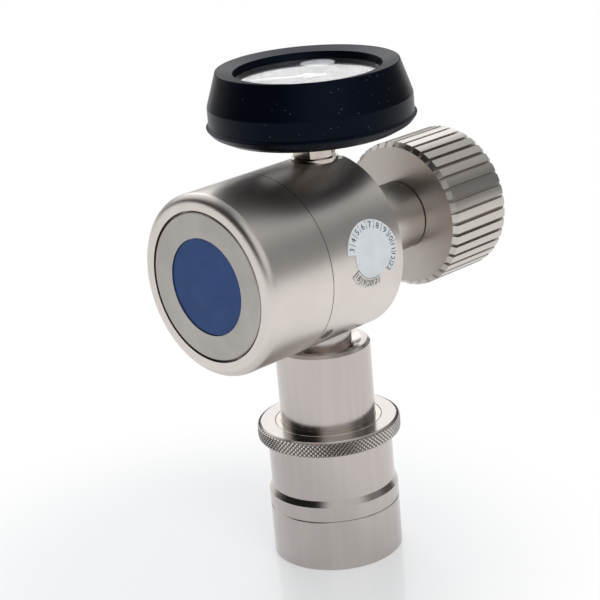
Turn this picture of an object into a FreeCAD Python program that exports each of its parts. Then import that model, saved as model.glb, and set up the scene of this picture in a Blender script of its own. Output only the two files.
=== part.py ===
import FreeCAD
import Part
import os
import re
import Sketcher
from FreeCAD import Placement, Rotation, Vector

# A nitrous oxide pressure regulator for a small medical cylinder. The outlet coupler stands
# upright on the origin, the regulator barrel lies along Y with its front towards -Y, the
# cylinder connection points to +Y, and the contents gauge looks up.
# Radii are from each piece's own axis. Stations run along the barrel from its front face,
# heights run up the coupler from its mouth, and rises run up the gauge from the barrel axis.

SIZES = {
    # Barrel and bonnet
    "barrel_radius": 25.0,
    "front_to_coupler": 40.3,
    "bonnet_length": 22.1,
    "body_length": 27.45,
    "seam_gap": 0.15,
    "front_rounding": 2.5,
    "back_chamfer": 0.7,
    "cap_bore_radius": 20.7,
    "cap_depth": 4.2,
    "web_thickness": 4.0,
    "spring_chamber_radius": 17.0,
    "spigot_radius": 21.2,
    "spigot_length": 7.5,
    "thread_gap": 0.05,
    "flat_gap": 0.02,
    "cutter_reach": 1.0,
    # Front cap and the colour disc for the gas
    "cap_face_radius": 20.2,
    "cap_flange_length": 1.8,
    "cap_hollow_radius": 8.0,
    "cap_hollow_depth": 2.2,
    "cap_edge": 0.3,
    "disc_radius": 13.2,
    "disc_thickness": 0.65,
    "disc_recess": 1.0,
    "disc_gap": 0.15,
    # Pressure setting inside the bonnet
    "setting_screw_radius": 6.0,
    "setting_screw_length": 8.0,
    "setting_screw_start": 3.2,
    "setting_socket_size": 3.0,
    "setting_socket_depth": 3.5,
    "button_radius": 11.2,
    "button_thickness": 2.0,
    "button_spigot_length": 1.2,
    "main_spring_radius": 9.4,
    "main_wire_radius": 1.25,
    "main_spring_turns": 4.0,
    "main_spring_play": 0.2,
    # Diaphragm and what it carries
    "clamp_ring_thickness": 0.7,
    "diaphragm_thickness": 0.6,
    "plate_radius": 13.0,
    "plate_thickness": 1.6,
    "plate_step": 1.0,
    "stud_radius": 1.9,
    "stud_length": 2.2,
    "nut_radius": 4.6,
    "nut_thickness": 1.9,
    "hex_corner_share": 1.07,
    "pin_radius": 1.15,
    # Low pressure chamber, valve seat and valve
    "chamber_radius": 16.0,
    "chamber_depth": 5.0,
    "seat_radius": 5.0,
    "seat_flange_radius": 6.6,
    "seat_flange_thickness": 2.0,
    "seat_length": 4.0,
    "nozzle_radius": 2.5,
    "nozzle_length": 0.5,
    "nozzle_bore_radius": 1.75,
    "seat_wall": 4.6,
    "valve_lift": 0.8,
    "poppet_radius": 3.9,
    "poppet_length": 5.3,
    "poppet_rim_length": 1.8,
    "poppet_seal_radius": 3.2,
    "poppet_seal_thickness": 1.2,
    "poppet_tail_radius": 2.4,
    "poppet_tail_length": 1.5,
    "poppet_spring_radius": 3.3,
    "poppet_wire_radius": 0.4,
    "poppet_spring_turns": 4.0,
    "guide_radius": 4.72,
    # Inlet stem, nipple and handwheel
    "stem_thread_radius": 8.0,
    "stem_thread_length": 8.6,
    "stem_radius": 9.83,
    "stem_length": 25.4,
    "stem_chamber_radius": 4.8,
    "stem_chamber_length": 15.0,
    "ring_groove_depth": 1.3,
    "ring_groove_width": 2.2,
    "cross_hole_radius": 0.9,
    "seal_groove_depth": 1.3,
    "seal_groove_width": 1.7,
    "seal_groove_wall": 1.0,
    "seal_end_gap": 0.1,
    "nipple_radius": 5.5,
    "nipple_thread_length": 11.0,
    "nipple_flange_radius": 7.1,
    "nipple_flange_thickness": 2.5,
    "nose_radius": 3.3,
    "nose_length": 1.0,
    "inlet_bore_radius": 3.0,
    "nose_bore_radius": 2.4,
    "filter_length": 4.0,
    "inlet_seal_radius": 6.6,
    "inlet_seal_thickness": 1.3,
    "wheel_radius": 21.54,
    "wheel_length": 22.4,
    "wheel_wall": 5.8,
    "wheel_gap": 0.3,
    "wheel_face_radius": 19.4,
    "wheel_bevel": 1.5,
    "wheel_recess_radius": 17.4,
    "wheel_recess_depth": 0.8,
    "groove_count": 39,
    "groove_depth": 1.55,
    "groove_half_width": 0.62,
    "groove_root_half_width": 0.38,
    "relief_radius": 8.6,
    "relief_length": 4.6,
    "inlet_thread_radius": 7.48,
    "inlet_thread_chamfer": 0.9,
    "journal_gap": 0.06,
    "face_gap": 0.3,
    # Bonnet lock screw
    "lock_screw_angle": 46.5,
    "lock_screw_radius": 1.95,
    "lock_screw_behind_seam": 2.45,
    "lock_screw_sink": 0.9,
    "lock_socket_size": 1.15,
    "lock_socket_depth": 1.3,
    # Gauge
    "gauge_offset": 3.0,
    "port_radius": 4.95,
    "port_depth": 11.0,
    "port_floor_gap": 1.5,
    "port_drill_radius": 1.2,
    "port_face_radius": 7.6,
    "port_face_sink": 0.8,
    "washer_radius": 6.5,
    "washer_thickness": 1.1,
    "socket_hex_corner": 6.1,
    "socket_hex_length": 5.2,
    "socket_hex_face_radius": 5.3,
    "socket_hex_bevel": 0.45,
    "socket_hex_angle": 4.0,
    "socket_neck_radius": 4.6,
    "socket_block_radius": 4.2,
    "socket_top_wall": 1.0,
    "case_radius": 21.3,
    "case_wall": 0.9,
    "case_sink": 1.4,
    "boot_fit": 0.1,
    "boot_floor_radius": 24.4,
    "boot_lip_radius": 28.63,
    "boot_shoulder_radius": 27.9,
    "boot_top_radius": 24.6,
    "boot_mouth_radius": 19.7,
    "boot_mouth_slope": 0.9,
    "boot_hole_radius": 15.0,
    "boot_bottom_rise": 32.4,
    "boot_bevel": 3.3,
    "boot_lip_height": 1.0,
    "boot_band": 4.5,
    "boot_height": 18.3,
    "boot_lip_edge": 0.35,
    "boot_rim_rounding": 1.3,
    "boot_mouth_rounding": 0.8,
    "boot_shoulder_rounding": 0.6,
    "window_thickness": 1.0,
    "window_sink": 2.75,
    "dial_sink": 1.2,
    "dial_thickness": 0.3,
    "dial_hole_radius": 1.6,
    "pointer_sink": 0.6,
    "pointer_thickness": 0.2,
    "pointer_length": 15.0,
    "pointer_tail": 5.0,
    "pointer_half_width": 0.75,
    "pointer_hub_radius": 1.8,
    "pointer_hub_height": 0.45,
    "pointer_rest_angle": 225.0,
    # Gauge movement
    "gear_module": 0.3,
    "pinion_teeth": 10,
    "sector_full_teeth": 60,
    "sector_cut_teeth": 10,
    "gear_thickness": 1.0,
    "tooth_root_depth": 0.42,
    "tooth_tip_height": 0.24,
    "tooth_root_half_width": 0.258,
    "tooth_tip_half_width": 0.084,
    "arbor_radius": 0.6,
    "arbor_foot_inset": 0.2,
    "bearing_gap": 0.05,
    "frame_plate_thickness": 0.9,
    "frame_clear_height": 3.2,
    "frame_overhang": 4.0,
    "frame_far_overhang": 2.8,
    "frame_half_width": 4.4,
    "post_radius": 0.9,
    "post_inset": 1.3,
    "sector_rim": 1.6,
    "sector_rest_teeth": 8,
    "tube_radius": 16.6,
    "tube_half_width": 1.0,
    "tube_height": 4.4,
    "tube_lift": 0.6,
    "tube_angle": 236.0,
    "tube_start_angle": 100.0,
    "tube_root_half_width": 1.6,
    # Coupler
    "coupler_height": 62.3,
    "neck_gap": 2.4,
    "neck_radius": 13.42,
    "neck_bottom": 32.6,
    "neck_top_chamfer": 0.8,
    "neck_ring_width": 1.6,
    "neck_cone_depth": 1.1,
    "neck_collar_radius": 8.4,
    "stub_radius": 6.5,
    "stub_length": 9.0,
    "outlet_face_radius": 9.2,
    "outlet_face_sink": 1.4,
    "outlet_seal_thickness": 1.2,
    "outlet_depth": 11.4,
    "gas_bore_radius": 3.0,
    "barrel_thread_radius": 10.4,
    "barrel_thread_length": 7.4,
    "check_chamber_radius": 7.4,
    "check_chamber_length": 19.5,
    "probe_barrel_radius": 11.6,
    "probe_bore_radius": 8.0,
    "probe_bore_length": 20.0,
    "probe_relief_radius": 8.3,
    "check_seat_thickness": 3.0,
    "check_hole_radius": 3.6,
    "ball_count": 4,
    "ball_radius": 2.3,
    "ball_height": 24.0,
    "ball_seat_radius": 9.45,
    "ball_gap": 0.05,
    "ball_travel": 1.1,
    "sleeve_travel": 4.0,
    "collar_radius": 18.4,
    "collar_height": 14.9,
    "collar_gap": 0.15,
    "collar_bottom_chamfer": 0.3,
    "sleeve_cone_height": 19.26,
    "sleeve_radius": 17.55,
    "sleeve_cone_top": 20.98,
    "sleeve_lower_bore_radius": 13.6,
    "sleeve_shoulder_over_balls": 4.0,
    "sleeve_pocket_radius": 15.9,
    "grip_bottom": 34.9,
    "grip_top": 39.5,
    "grip_radius": 19.85,
    "grip_bevel": 0.7,
    "slide_gap": 0.08,
    "bush_radius": 15.1,
    "bush_bottom": 36.1,
    "bush_edge": 0.2,
    "clip_radius": 15.5,
    "clip_thickness": 0.9,
    "clip_groove_depth": 0.8,
    "clip_opening_angle": 40.0,
    "sleeve_spring_radius": 14.66,
    "sleeve_wire_radius": 0.42,
    "sleeve_spring_turns": 3.0,
    "check_head_radius": 5.4,
    "check_head_length": 3.6,
    "check_rim_length": 1.8,
    "check_nose_radius": 2.6,
    "check_stem_radius": 1.9,
    "check_stem_length": 6.0,
    "check_seal_thickness": 1.2,
    "check_spring_radius": 4.3,
    "check_wire_radius": 0.45,
    "check_spring_turns": 5.0,
    "check_spigot_radius": 3.4,
    "check_spigot_length": 1.6,
    "probe_seal_thickness": 1.3,
    "probe_seal_over_balls": 0.9,
    "probe_seal_hole_radius": 5.0,
    # Test date sticker on the barrel's flank
    "sticker_radius": 9.3,
    "sticker_thickness": 0.12,
    "sticker_angle": 6.4,
    "sticker_station": 37.6,
}

# Places and fits that follow from the sizes
FITS = {
    "body_axis": "coupler_height + neck_gap + barrel_radius",
    "seam": "bonnet_length + seam_gap",
    "body_back": "seam + body_length",
    "stem_end": "body_back + stem_length",
    "wheel_start": "stem_end + wheel_gap",
    "wheel_end": "wheel_start + wheel_length",
    "chamber_front": "cap_depth + web_thickness",
    "spigot_end": "bonnet_length + spigot_length",
    "diaphragm_front": "spigot_end + clamp_ring_thickness",
    "chamber_start": "diaphragm_front + diaphragm_thickness",
    "chamber_floor": "chamber_start + chamber_depth",
    "seat_back": "chamber_floor + seat_length",
    "nozzle_tip": "seat_back + nozzle_length",
    "inlet_floor": "chamber_floor + seat_wall",
    "valve_face": "nozzle_tip + valve_lift",
    "poppet_end": "valve_face + poppet_length",
    "stem_thread_start": "body_back - stem_thread_length",
    "stem_chamber_end": "stem_thread_start + stem_chamber_length",
    "setting_screw_end": "setting_screw_start + setting_screw_length",
    "button_face": "setting_screw_end + button_thickness",
    "plate_front": "diaphragm_front - plate_thickness",
    "main_spring_length": "plate_front - button_face",
    "main_spring_inside": "main_spring_radius - main_wire_radius - main_spring_play",
    "main_spring_outside": "main_spring_radius + main_wire_radius + main_spring_play",
    "poppet_spring_length": "stem_chamber_end - poppet_end",
    "gauge_station": "front_to_coupler + gauge_offset",
    "stem_ring_start": "gauge_station - ring_groove_width / 2",
    "stem_ring_end": "gauge_station + ring_groove_width / 2",
    "stem_seal_start": "stem_ring_end + seal_groove_wall",
    "stem_seal_end": "stem_seal_start + seal_groove_width",
    "nipple_start": "stem_end - nipple_thread_length",
    "wheel_wall_end": "wheel_start + wheel_wall",
    "relief_end": "wheel_wall_end + relief_length",
    "flange_start": "wheel_wall_end + face_gap",
    "flange_end": "flange_start + nipple_flange_thickness",
    "nose_end": "flange_end + nose_length",
    "filter_start": "flange_end - filter_length",
    "port_face_rise": "barrel_radius - port_face_sink",
    "washer_top_rise": "port_face_rise + washer_thickness",
    "socket_hex_top_rise": "washer_top_rise + socket_hex_length",
    "case_bottom_rise": "boot_bottom_rise + case_sink",
    "case_floor_rise": "case_bottom_rise + case_wall",
    "boot_top_rise": "boot_bottom_rise + boot_height",
    "boot_lip_rise": "boot_bottom_rise + boot_bevel",
    "boot_band_rise": "boot_lip_rise + boot_lip_height",
    "boot_shoulder_rise": "boot_band_rise + boot_band",
    "window_top_rise": "boot_top_rise - window_sink",
    "window_rise": "window_top_rise - window_thickness",
    "dial_rise": "window_rise - dial_sink",
    "pointer_rise": "window_rise - pointer_sink",
    "upper_plate_rise": "dial_rise - frame_plate_thickness",
    "lower_plate_rise": "upper_plate_rise - frame_clear_height",
    "lower_plate_bottom_rise": "lower_plate_rise - frame_plate_thickness",
    "gear_rise": "lower_plate_rise + (frame_clear_height - gear_thickness) / 2",
    "pinion_pitch_radius": "gear_module * pinion_teeth / 2",
    "sector_pitch_radius": "gear_module * sector_full_teeth / 2",
    "gear_distance": "pinion_pitch_radius + sector_pitch_radius",
    "tube_rise": "case_floor_rise + tube_lift",
    "collar_top": "collar_height",
    "sleeve_bottom": "collar_height + collar_gap",
    "stub_top": "coupler_height + stub_length + neck_gap",
    "outlet_face": "body_axis - barrel_radius + outlet_face_sink",
    "collar_seat": "outlet_face - outlet_seal_thickness",
    "probe_seal_start": "ball_height + ball_radius + probe_seal_over_balls",
    "probe_bore_end": "probe_seal_start + probe_seal_thickness",
    "check_seat": "probe_bore_end + check_seat_thickness",
    "sleeve_shoulder_height": "ball_height + sleeve_shoulder_over_balls",
    "check_chamber_top": "neck_bottom + check_chamber_length",
    "barrel_end": "neck_bottom + barrel_thread_length",
    "check_face": "check_seat + flat_gap",
    "check_head_top": "check_face + check_head_length",
    "check_spring_length": "check_chamber_top - check_head_top",
    "clip_top": "bush_bottom - flat_gap",
    "clip_bottom": "clip_top - clip_thickness",
    "sleeve_spring_length": "clip_bottom - sleeve_shoulder_height",
    "cone_slope": "ball_travel / sleeve_travel",
    "cone_offset": "ball_seat_radius + cone_slope * ball_height"
                   " + (ball_radius + ball_gap) * sqrt(1 + cone_slope * cone_slope)",
    "land_radius": "probe_barrel_radius + slide_gap",
    "cone_end_height": "(cone_offset - land_radius) / cone_slope",
    "cone_start_height": "(cone_offset - sleeve_lower_bore_radius) / cone_slope",
}

doc = FreeCAD.newDocument("regulator")
SHEET_OF = dict.fromkeys(SIZES, "Sizes")
SHEET_OF.update(dict.fromkeys(FITS, "Fits"))


def bound(text):
    """An expression with each size's name led to the sheet that holds it."""
    def lead(match):
        word = match.group()
        return SHEET_OF[word] + "." + word if word in SHEET_OF else word
    return re.sub(r"[a-z_]+", lead, text)


def fill(name, rows):
    """A sheet with one named value to a row."""
    sheet = doc.addObject("Spreadsheet::Sheet", name)
    for row, (alias, content) in enumerate(rows.items(), 1):
        sheet.set("A%d" % row, alias)
        sheet.set("B%d" % row, content)
        sheet.setAlias("B%d" % row, alias)
    doc.recompute()
    return sheet


sizes = fill("Sizes", {name: str(size) for name, size in SIZES.items()})
fits = fill("Fits", {name: "=" + bound(text) for name, text in FITS.items()})


def value(text):
    """The number that an expression stands for."""
    return float(fits.evalExpression(bound(text)))


# Frames of the three axes: each turns a piece that is drawn along Z
FRAMES = {
    "coupler": (Rotation(), "0", "0"),
    "gauge": (Rotation(), "gauge_offset", "body_axis"),
    "barrel": (Rotation(Vector(1, 0, 0), -90), "-front_to_coupler", "body_axis"),
}


def at(frame, along="0"):
    """The spot, three expressions, and the turn of a place along one of the axes."""
    turn, y, z = FRAMES[frame]
    if frame == "barrel":
        return ("0", y + " + " + along, z), turn
    return ("0", y, z + " + " + along), turn


def place(piece, spot, turn=Rotation()):
    """Turns a piece and sets its own origin at a spot."""
    piece.Placement = Placement(Vector(), turn)
    for axis, text in zip("xyz", spot):
        piece.setExpression("Placement.Base." + axis, bound(text))
    return piece


def origin_plane(body, role):
    return next(part for part in body.Origin.OriginFeatures if part.Role == role)


def sketch_on(body, role, name):
    sketch = body.newObject("Sketcher::SketchObject", name)
    sketch.AttachmentSupport = [(origin_plane(body, role), "")]
    sketch.MapMode = "FlatFace"
    return sketch


def hold(sketch, item, end, across, up):
    """Ties one point of a sketch to two expressions, measured from the sketch's origin."""
    for kind, axis, text in (("DistanceX", -2, across), ("DistanceY", -1, up)):
        if text == "0":
            sketch.addConstraint(Sketcher.Constraint("PointOnObject", item, end, axis))
        else:
            number = sketch.addConstraint(
                Sketcher.Constraint(kind, -1, 1, item, end, value(text)))
            sketch.setExpression("Constraints[%d]" % number, bound(text))


def outline(body, role, name, corners):
    """A closed outline of straight lines whose corners are pairs of expressions."""
    sketch = sketch_on(body, role, name)
    places = [Vector(value(across), value(up), 0) for across, up in corners]
    for start, end in zip(places, places[1:] + places[:1]):
        sketch.addGeometry(Part.LineSegment(start, end))
    for item in range(len(places)):
        before = (item - 1) % len(places)
        sketch.addConstraint(Sketcher.Constraint("Coincident", before, 2, item, 1))
    for item, (across, up) in enumerate(corners):
        hold(sketch, item, 1, across, up)
    return sketch


def circle(body, role, name, radius, across="0", up="0"):
    """A circle held by expressions for its radius and centre."""
    sketch = sketch_on(body, role, name)
    centre = Vector(value(across), value(up), 0)
    sketch.addGeometry(Part.Circle(centre, Vector(0, 0, 1), value(radius)))
    number = sketch.addConstraint(Sketcher.Constraint("Radius", 0, value(radius)))
    sketch.setExpression("Constraints[%d]" % number, bound(radius))
    hold(sketch, 0, 3, across, up)
    return sketch


def turned(label, frame, corners, angle=None):
    """A piece turned on a lathe: corners are pairs of radius and place along the axis."""
    body = doc.addObject("PartDesign::Body", label)
    sketch = outline(body, "XZ_Plane", label + "_profile", corners)
    spin = body.newObject("PartDesign::Revolution", label + "_turning")
    spin.Profile = sketch
    spin.ReferenceAxis = (sketch, ["V_Axis"])
    spin.Angle = 360 if angle is None else value(angle)
    if angle is not None:
        spin.setExpression("Angle", bound(angle))
    place(body, *at(frame))
    doc.recompute()
    return body


def eased(body, kind, size, places):
    """Rounds or chamfers the round edges that have the given radii and places."""
    base = body.Tip
    edges = []
    for radius, along in places:
        for number, edge in enumerate(base.Shape.Edges, 1):
            curve = edge.Curve
            if not isinstance(curve, Part.Circle):
                continue
            if abs(curve.Radius - value(radius)) < 0.02 and abs(curve.Center.z - value(along)) < 0.02:
                edges.append("Edge%d" % number)
    feature = body.newObject("PartDesign::" + kind, body.Name + "_" + kind.lower())
    feature.Base = (base, edges)
    amount = "Radius" if kind == "Fillet" else "Size"
    setattr(feature, amount, value(size))
    feature.setExpression(amount, bound(size))
    body.Tip = feature
    doc.recompute()
    return body


def rod(name, radius, length, spot, turn=Rotation()):
    """A plain round cutter or bar whose foot stands at the spot, three expressions."""
    piece = doc.addObject("Part::Cylinder", name)
    piece.setExpression("Radius", bound(radius))
    piece.setExpression("Height", bound(length))
    return place(piece, spot, turn)


def hexagon(name, corner, length, spot, turn=Rotation()):
    """A six sided bar whose foot stands at the spot, its corners at the given radius."""
    piece = doc.addObject("Part::Prism", name)
    piece.Polygon = 6
    piece.setExpression("Circumradius", bound(corner))
    piece.setExpression("Height", bound(length))
    return place(piece, spot, turn)


def joined(kind, label, base, tools):
    """One boolean of a base and its tools under a label of its own."""
    tool = tools[0]
    if len(tools) > 1:
        tool = doc.addObject("Part::MultiFuse", label + "_tools")
        tool.Shapes = tools
    result = doc.addObject("Part::" + kind, label)
    result.Base = base
    result.Tool = tool
    return result


def cut(label, base, *tools):
    return joined("Cut", label, base, list(tools))


def coil(label, frame, along, radius, wire, length, turns, sides=4):
    """A helical spring between two faces, its wire drawn with a few flats round its section.

    The section has a flat at its top and bottom, so that its ends lie on the two faces."""
    body = doc.addObject("PartDesign::Body", label)
    reach = "%s / cos(180 / %d)" % (wire, sides)
    section = []
    for side in range(sides):
        angle = "(90 + %d / %d * 360)" % (side * 2 + 1, sides * 2)
        section.append(("%s + %s * cos(%s)" % (radius, reach, angle),
                        "%s + %s * sin(%s)" % (wire, reach, angle)))
    sketch = outline(body, "XZ_Plane", label + "_wire", section)
    helix = body.newObject("PartDesign::AdditiveHelix", label + "_coil")
    helix.Profile = sketch
    helix.ReferenceAxis = (sketch, ["V_Axis"])
    helix.Mode = "height-turns-angle"
    helix.setExpression("Height", bound("%s - 2 * %s" % (length, wire)))
    helix.setExpression("Turns", bound(turns))
    place(body, *at(frame, along))
    doc.recompute()
    return body


# Bonnet: a cup with a screwed spigot behind and a bore for the cap in front
bonnet = turned("bonnet", "barrel", [
    ("setting_screw_radius + thread_gap", "cap_depth"),
    ("cap_bore_radius", "cap_depth"),
    ("cap_bore_radius", "0"),
    ("barrel_radius", "0"),
    ("barrel_radius", "bonnet_length"),
    ("spigot_radius", "bonnet_length"),
    ("spigot_radius", "spigot_end"),
    ("spring_chamber_radius", "spigot_end"),
    ("spring_chamber_radius", "chamber_front"),
    ("setting_screw_radius + thread_gap", "chamber_front"),
])
eased(bonnet, "Fillet", "front_rounding", [("barrel_radius", "0")])

# Body: one machined block with the low pressure chamber in front and the inlet behind
body_blank = turned("body_blank", "barrel", [
    ("spigot_radius + thread_gap", "seam"),
    ("barrel_radius", "seam"),
    ("barrel_radius", "body_back"),
    ("stem_thread_radius + thread_gap", "body_back"),
    ("stem_thread_radius + thread_gap", "inlet_floor"),
    ("seat_radius + thread_gap", "inlet_floor"),
    ("seat_radius + thread_gap", "chamber_floor"),
    ("chamber_radius", "chamber_floor"),
    ("chamber_radius", "chamber_start"),
    ("spigot_radius + thread_gap", "chamber_start"),
])
eased(body_blank, "Chamfer", "back_chamfer", [("barrel_radius", "body_back")])
screw_turn = Rotation(Vector(0, 1, 0), 180 - value("lock_screw_angle"))
screw_spot = ("0", "seam + lock_screw_behind_seam - front_to_coupler", "body_axis")
outward = ("sin(lock_screw_angle)", "cos(lock_screw_angle)")


def along_lock_screw(distance):
    """The spot on the lock screw's axis at a distance from the barrel's axis."""
    return ("(%s) * %s" % (distance, outward[0]), screw_spot[1],
            "body_axis - (%s) * %s" % (distance, outward[1]))


regulator_body = cut(
    "regulator_body", body_blank,
    rod("port_face", "port_face_radius", "port_face_sink + cutter_reach",
        ("0", "gauge_offset", "body_axis + port_face_rise")),
    rod("port_thread", "port_radius", "port_depth + cutter_reach",
        ("0", "gauge_offset", "body_axis + port_face_rise - port_depth")),
    rod("port_drilling", "port_drill_radius", "port_face_rise",
        ("0", "gauge_offset", "body_axis + stem_thread_radius / 2")),
    rod("outlet_face_cutter", "outlet_face_radius", "outlet_face_sink + cutter_reach",
        ("0", "0", "outlet_face - outlet_face_sink - cutter_reach")),
    rod("outlet_thread", "stub_radius + thread_gap", "outlet_depth + cutter_reach",
        ("0", "0", "outlet_face - cutter_reach")),
    rod("lock_screw_hole", "lock_screw_radius + thread_gap", "barrel_radius",
        along_lock_screw("chamber_radius"), screw_turn))

# Front cap with a shallow recess for the colour disc
front_cap = turned("front_cap", "barrel", [
    ("0", "disc_recess"),
    ("disc_radius + disc_gap", "disc_recess"),
    ("disc_radius + disc_gap", "0"),
    ("cap_face_radius", "0"),
    ("cap_face_radius", "cap_depth - cap_flange_length"),
    ("cap_bore_radius - thread_gap", "cap_depth - cap_flange_length"),
    ("cap_bore_radius - thread_gap", "cap_depth"),
    ("cap_hollow_radius", "cap_depth"),
    ("cap_hollow_radius", "cap_depth - cap_hollow_depth"),
    ("0", "cap_depth - cap_hollow_depth"),
])
eased(front_cap, "Chamfer", "cap_edge", [("cap_face_radius", "0")])
gas_disc = turned("gas_disc", "barrel", [
    ("0", "disc_recess - disc_thickness"),
    ("disc_radius", "disc_recess - disc_thickness"),
    ("disc_radius", "disc_recess"),
    ("0", "disc_recess"),
])

# Pressure setting: hollow screw, spring button and main spring
screw_blank = turned("setting_screw_blank", "barrel", [
    ("0", "setting_screw_start"),
    ("setting_screw_radius", "setting_screw_start"),
    ("setting_screw_radius", "setting_screw_end"),
    ("0", "setting_screw_end"),
])
cut("setting_screw", screw_blank,
    hexagon("setting_socket", "setting_socket_size", "setting_socket_depth",
            *at("barrel", "setting_screw_start")))
turned("spring_button", "barrel", [
    ("0", "setting_screw_end"),
    ("button_radius", "setting_screw_end"),
    ("button_radius", "button_face"),
    ("main_spring_inside", "button_face"),
    ("main_spring_inside", "button_face + button_spigot_length"),
    ("0", "button_face + button_spigot_length"),
])
coil("main_spring", "barrel", "button_face", "main_spring_radius", "main_wire_radius",
     "main_spring_length", "main_spring_turns", 6)

# Diaphragm, its clamp ring and the train that it moves
turned("clamp_ring", "barrel", [
    ("spring_chamber_radius", "spigot_end"),
    ("spigot_radius", "spigot_end"),
    ("spigot_radius", "diaphragm_front"),
    ("spring_chamber_radius", "diaphragm_front"),
])
turned("diaphragm", "barrel", [
    ("stud_radius + thread_gap", "diaphragm_front"),
    ("spigot_radius", "diaphragm_front"),
    ("spigot_radius", "chamber_start"),
    ("stud_radius + thread_gap", "chamber_start"),
])
turned("diaphragm_plate", "barrel", [
    ("0", "plate_front"),
    ("main_spring_outside", "plate_front"),
    ("main_spring_outside", "plate_front - plate_step"),
    ("plate_radius", "plate_front - plate_step"),
    ("plate_radius", "diaphragm_front"),
    ("stud_radius", "diaphragm_front"),
    ("stud_radius", "chamber_start + stud_length"),
    ("0", "chamber_start + stud_length"),
])
nut_blank = turned("diaphragm_nut_blank", "barrel", [
    ("stud_radius + thread_gap", "chamber_start"),
    ("nut_radius", "chamber_start"),
    ("nut_radius", "chamber_start + nut_thickness"),
    ("stud_radius + thread_gap", "chamber_start + nut_thickness"),
])
joined("Common", "diaphragm_nut", nut_blank, [
    hexagon("nut_flats", "nut_radius * hex_corner_share", "nut_thickness",
            *at("barrel", "chamber_start"))])
turned("push_pin", "barrel", [
    ("0", "chamber_start + stud_length"),
    ("pin_radius", "chamber_start + stud_length"),
    ("pin_radius", "valve_face"),
    ("0", "valve_face"),
])

# Valve seat screwed into the web, and the poppet behind it
turned("valve_seat", "barrel", [
    ("nozzle_bore_radius", "chamber_floor - seat_flange_thickness"),
    ("seat_flange_radius", "chamber_floor - seat_flange_thickness"),
    ("seat_flange_radius", "chamber_floor"),
    ("seat_radius", "chamber_floor"),
    ("seat_radius", "seat_back"),
    ("nozzle_radius", "seat_back"),
    ("nozzle_radius", "nozzle_tip"),
    ("nozzle_bore_radius", "nozzle_tip"),
])
turned("poppet_seal", "barrel", [
    ("0", "valve_face"),
    ("poppet_seal_radius", "valve_face"),
    ("poppet_seal_radius", "valve_face + poppet_seal_thickness"),
    ("0", "valve_face + poppet_seal_thickness"),
])
poppet_blank = turned("valve_poppet_blank", "barrel", [
    ("0", "valve_face + poppet_seal_thickness"),
    ("poppet_seal_radius", "valve_face + poppet_seal_thickness"),
    ("poppet_seal_radius", "valve_face"),
    ("poppet_radius", "valve_face"),
    ("poppet_radius", "valve_face + poppet_rim_length"),
    ("guide_radius", "valve_face + poppet_rim_length"),
    ("guide_radius", "poppet_end"),
    ("poppet_tail_radius", "poppet_end"),
    ("poppet_tail_radius", "poppet_end + poppet_tail_length"),
    ("0", "poppet_end + poppet_tail_length"),
])
joined("Common", "valve_poppet", poppet_blank, [
    hexagon("poppet_flats", "guide_radius * hex_corner_share",
            "poppet_length + poppet_tail_length", *at("barrel", "valve_face"))])
coil("poppet_spring", "barrel", "poppet_end", "poppet_spring_radius", "poppet_wire_radius",
     "poppet_spring_length", "poppet_spring_turns")

# Bonnet lock screw in the side of the body
lock_length = "barrel_radius - lock_screw_sink - spigot_radius - thread_gap"
lock_blank = rod("lock_screw_blank", "lock_screw_radius", lock_length,
                 along_lock_screw("spigot_radius + thread_gap"), screw_turn)
cut("bonnet_lock_screw", lock_blank,
    hexagon("lock_socket", "lock_socket_size", "lock_socket_depth + cutter_reach",
            along_lock_screw("barrel_radius - lock_screw_sink - lock_socket_depth"), screw_turn))

# Inlet stem: screwed spigot with a ring groove that feeds the gauge, then the plain neck
stem_blank = turned("inlet_stem_blank", "barrel", [
    ("stem_chamber_radius", "stem_thread_start"),
    ("stem_thread_radius", "stem_thread_start"),
    ("stem_thread_radius", "stem_ring_start"),
    ("stem_thread_radius - ring_groove_depth", "stem_ring_start"),
    ("stem_thread_radius - ring_groove_depth", "stem_ring_end"),
    ("stem_thread_radius", "stem_ring_end"),
    ("stem_thread_radius", "stem_seal_start"),
    ("stem_thread_radius - seal_groove_depth", "stem_seal_start"),
    ("stem_thread_radius - seal_groove_depth", "stem_seal_end"),
    ("stem_thread_radius", "stem_seal_end"),
    ("stem_thread_radius", "body_back"),
    ("stem_radius", "body_back"),
    ("stem_radius", "stem_end"),
    ("nipple_radius + thread_gap", "stem_end"),
    ("nipple_radius + thread_gap", "nipple_start - face_gap"),
    ("inlet_bore_radius", "nipple_start - face_gap"),
    ("inlet_bore_radius", "stem_chamber_end"),
    ("stem_chamber_radius", "stem_chamber_end"),
])
cross_start = "body_axis - stem_thread_radius"
cut("inlet_stem", stem_blank,
    rod("cross_hole_upright", "cross_hole_radius", "stem_thread_radius * 2",
        ("0", "gauge_offset", cross_start)),
    rod("cross_hole_level", "cross_hole_radius", "stem_thread_radius * 2",
        ("-stem_thread_radius", "gauge_offset", "body_axis"), Rotation(Vector(0, 1, 0), 90)))
turned("stem_seal", "barrel", [
    ("stem_thread_radius - seal_groove_depth", "stem_seal_start + seal_end_gap"),
    ("stem_thread_radius + thread_gap", "stem_seal_start + seal_end_gap"),
    ("stem_thread_radius + thread_gap", "stem_seal_end - seal_end_gap"),
    ("stem_thread_radius - seal_groove_depth", "stem_seal_end - seal_end_gap"),
])

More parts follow.
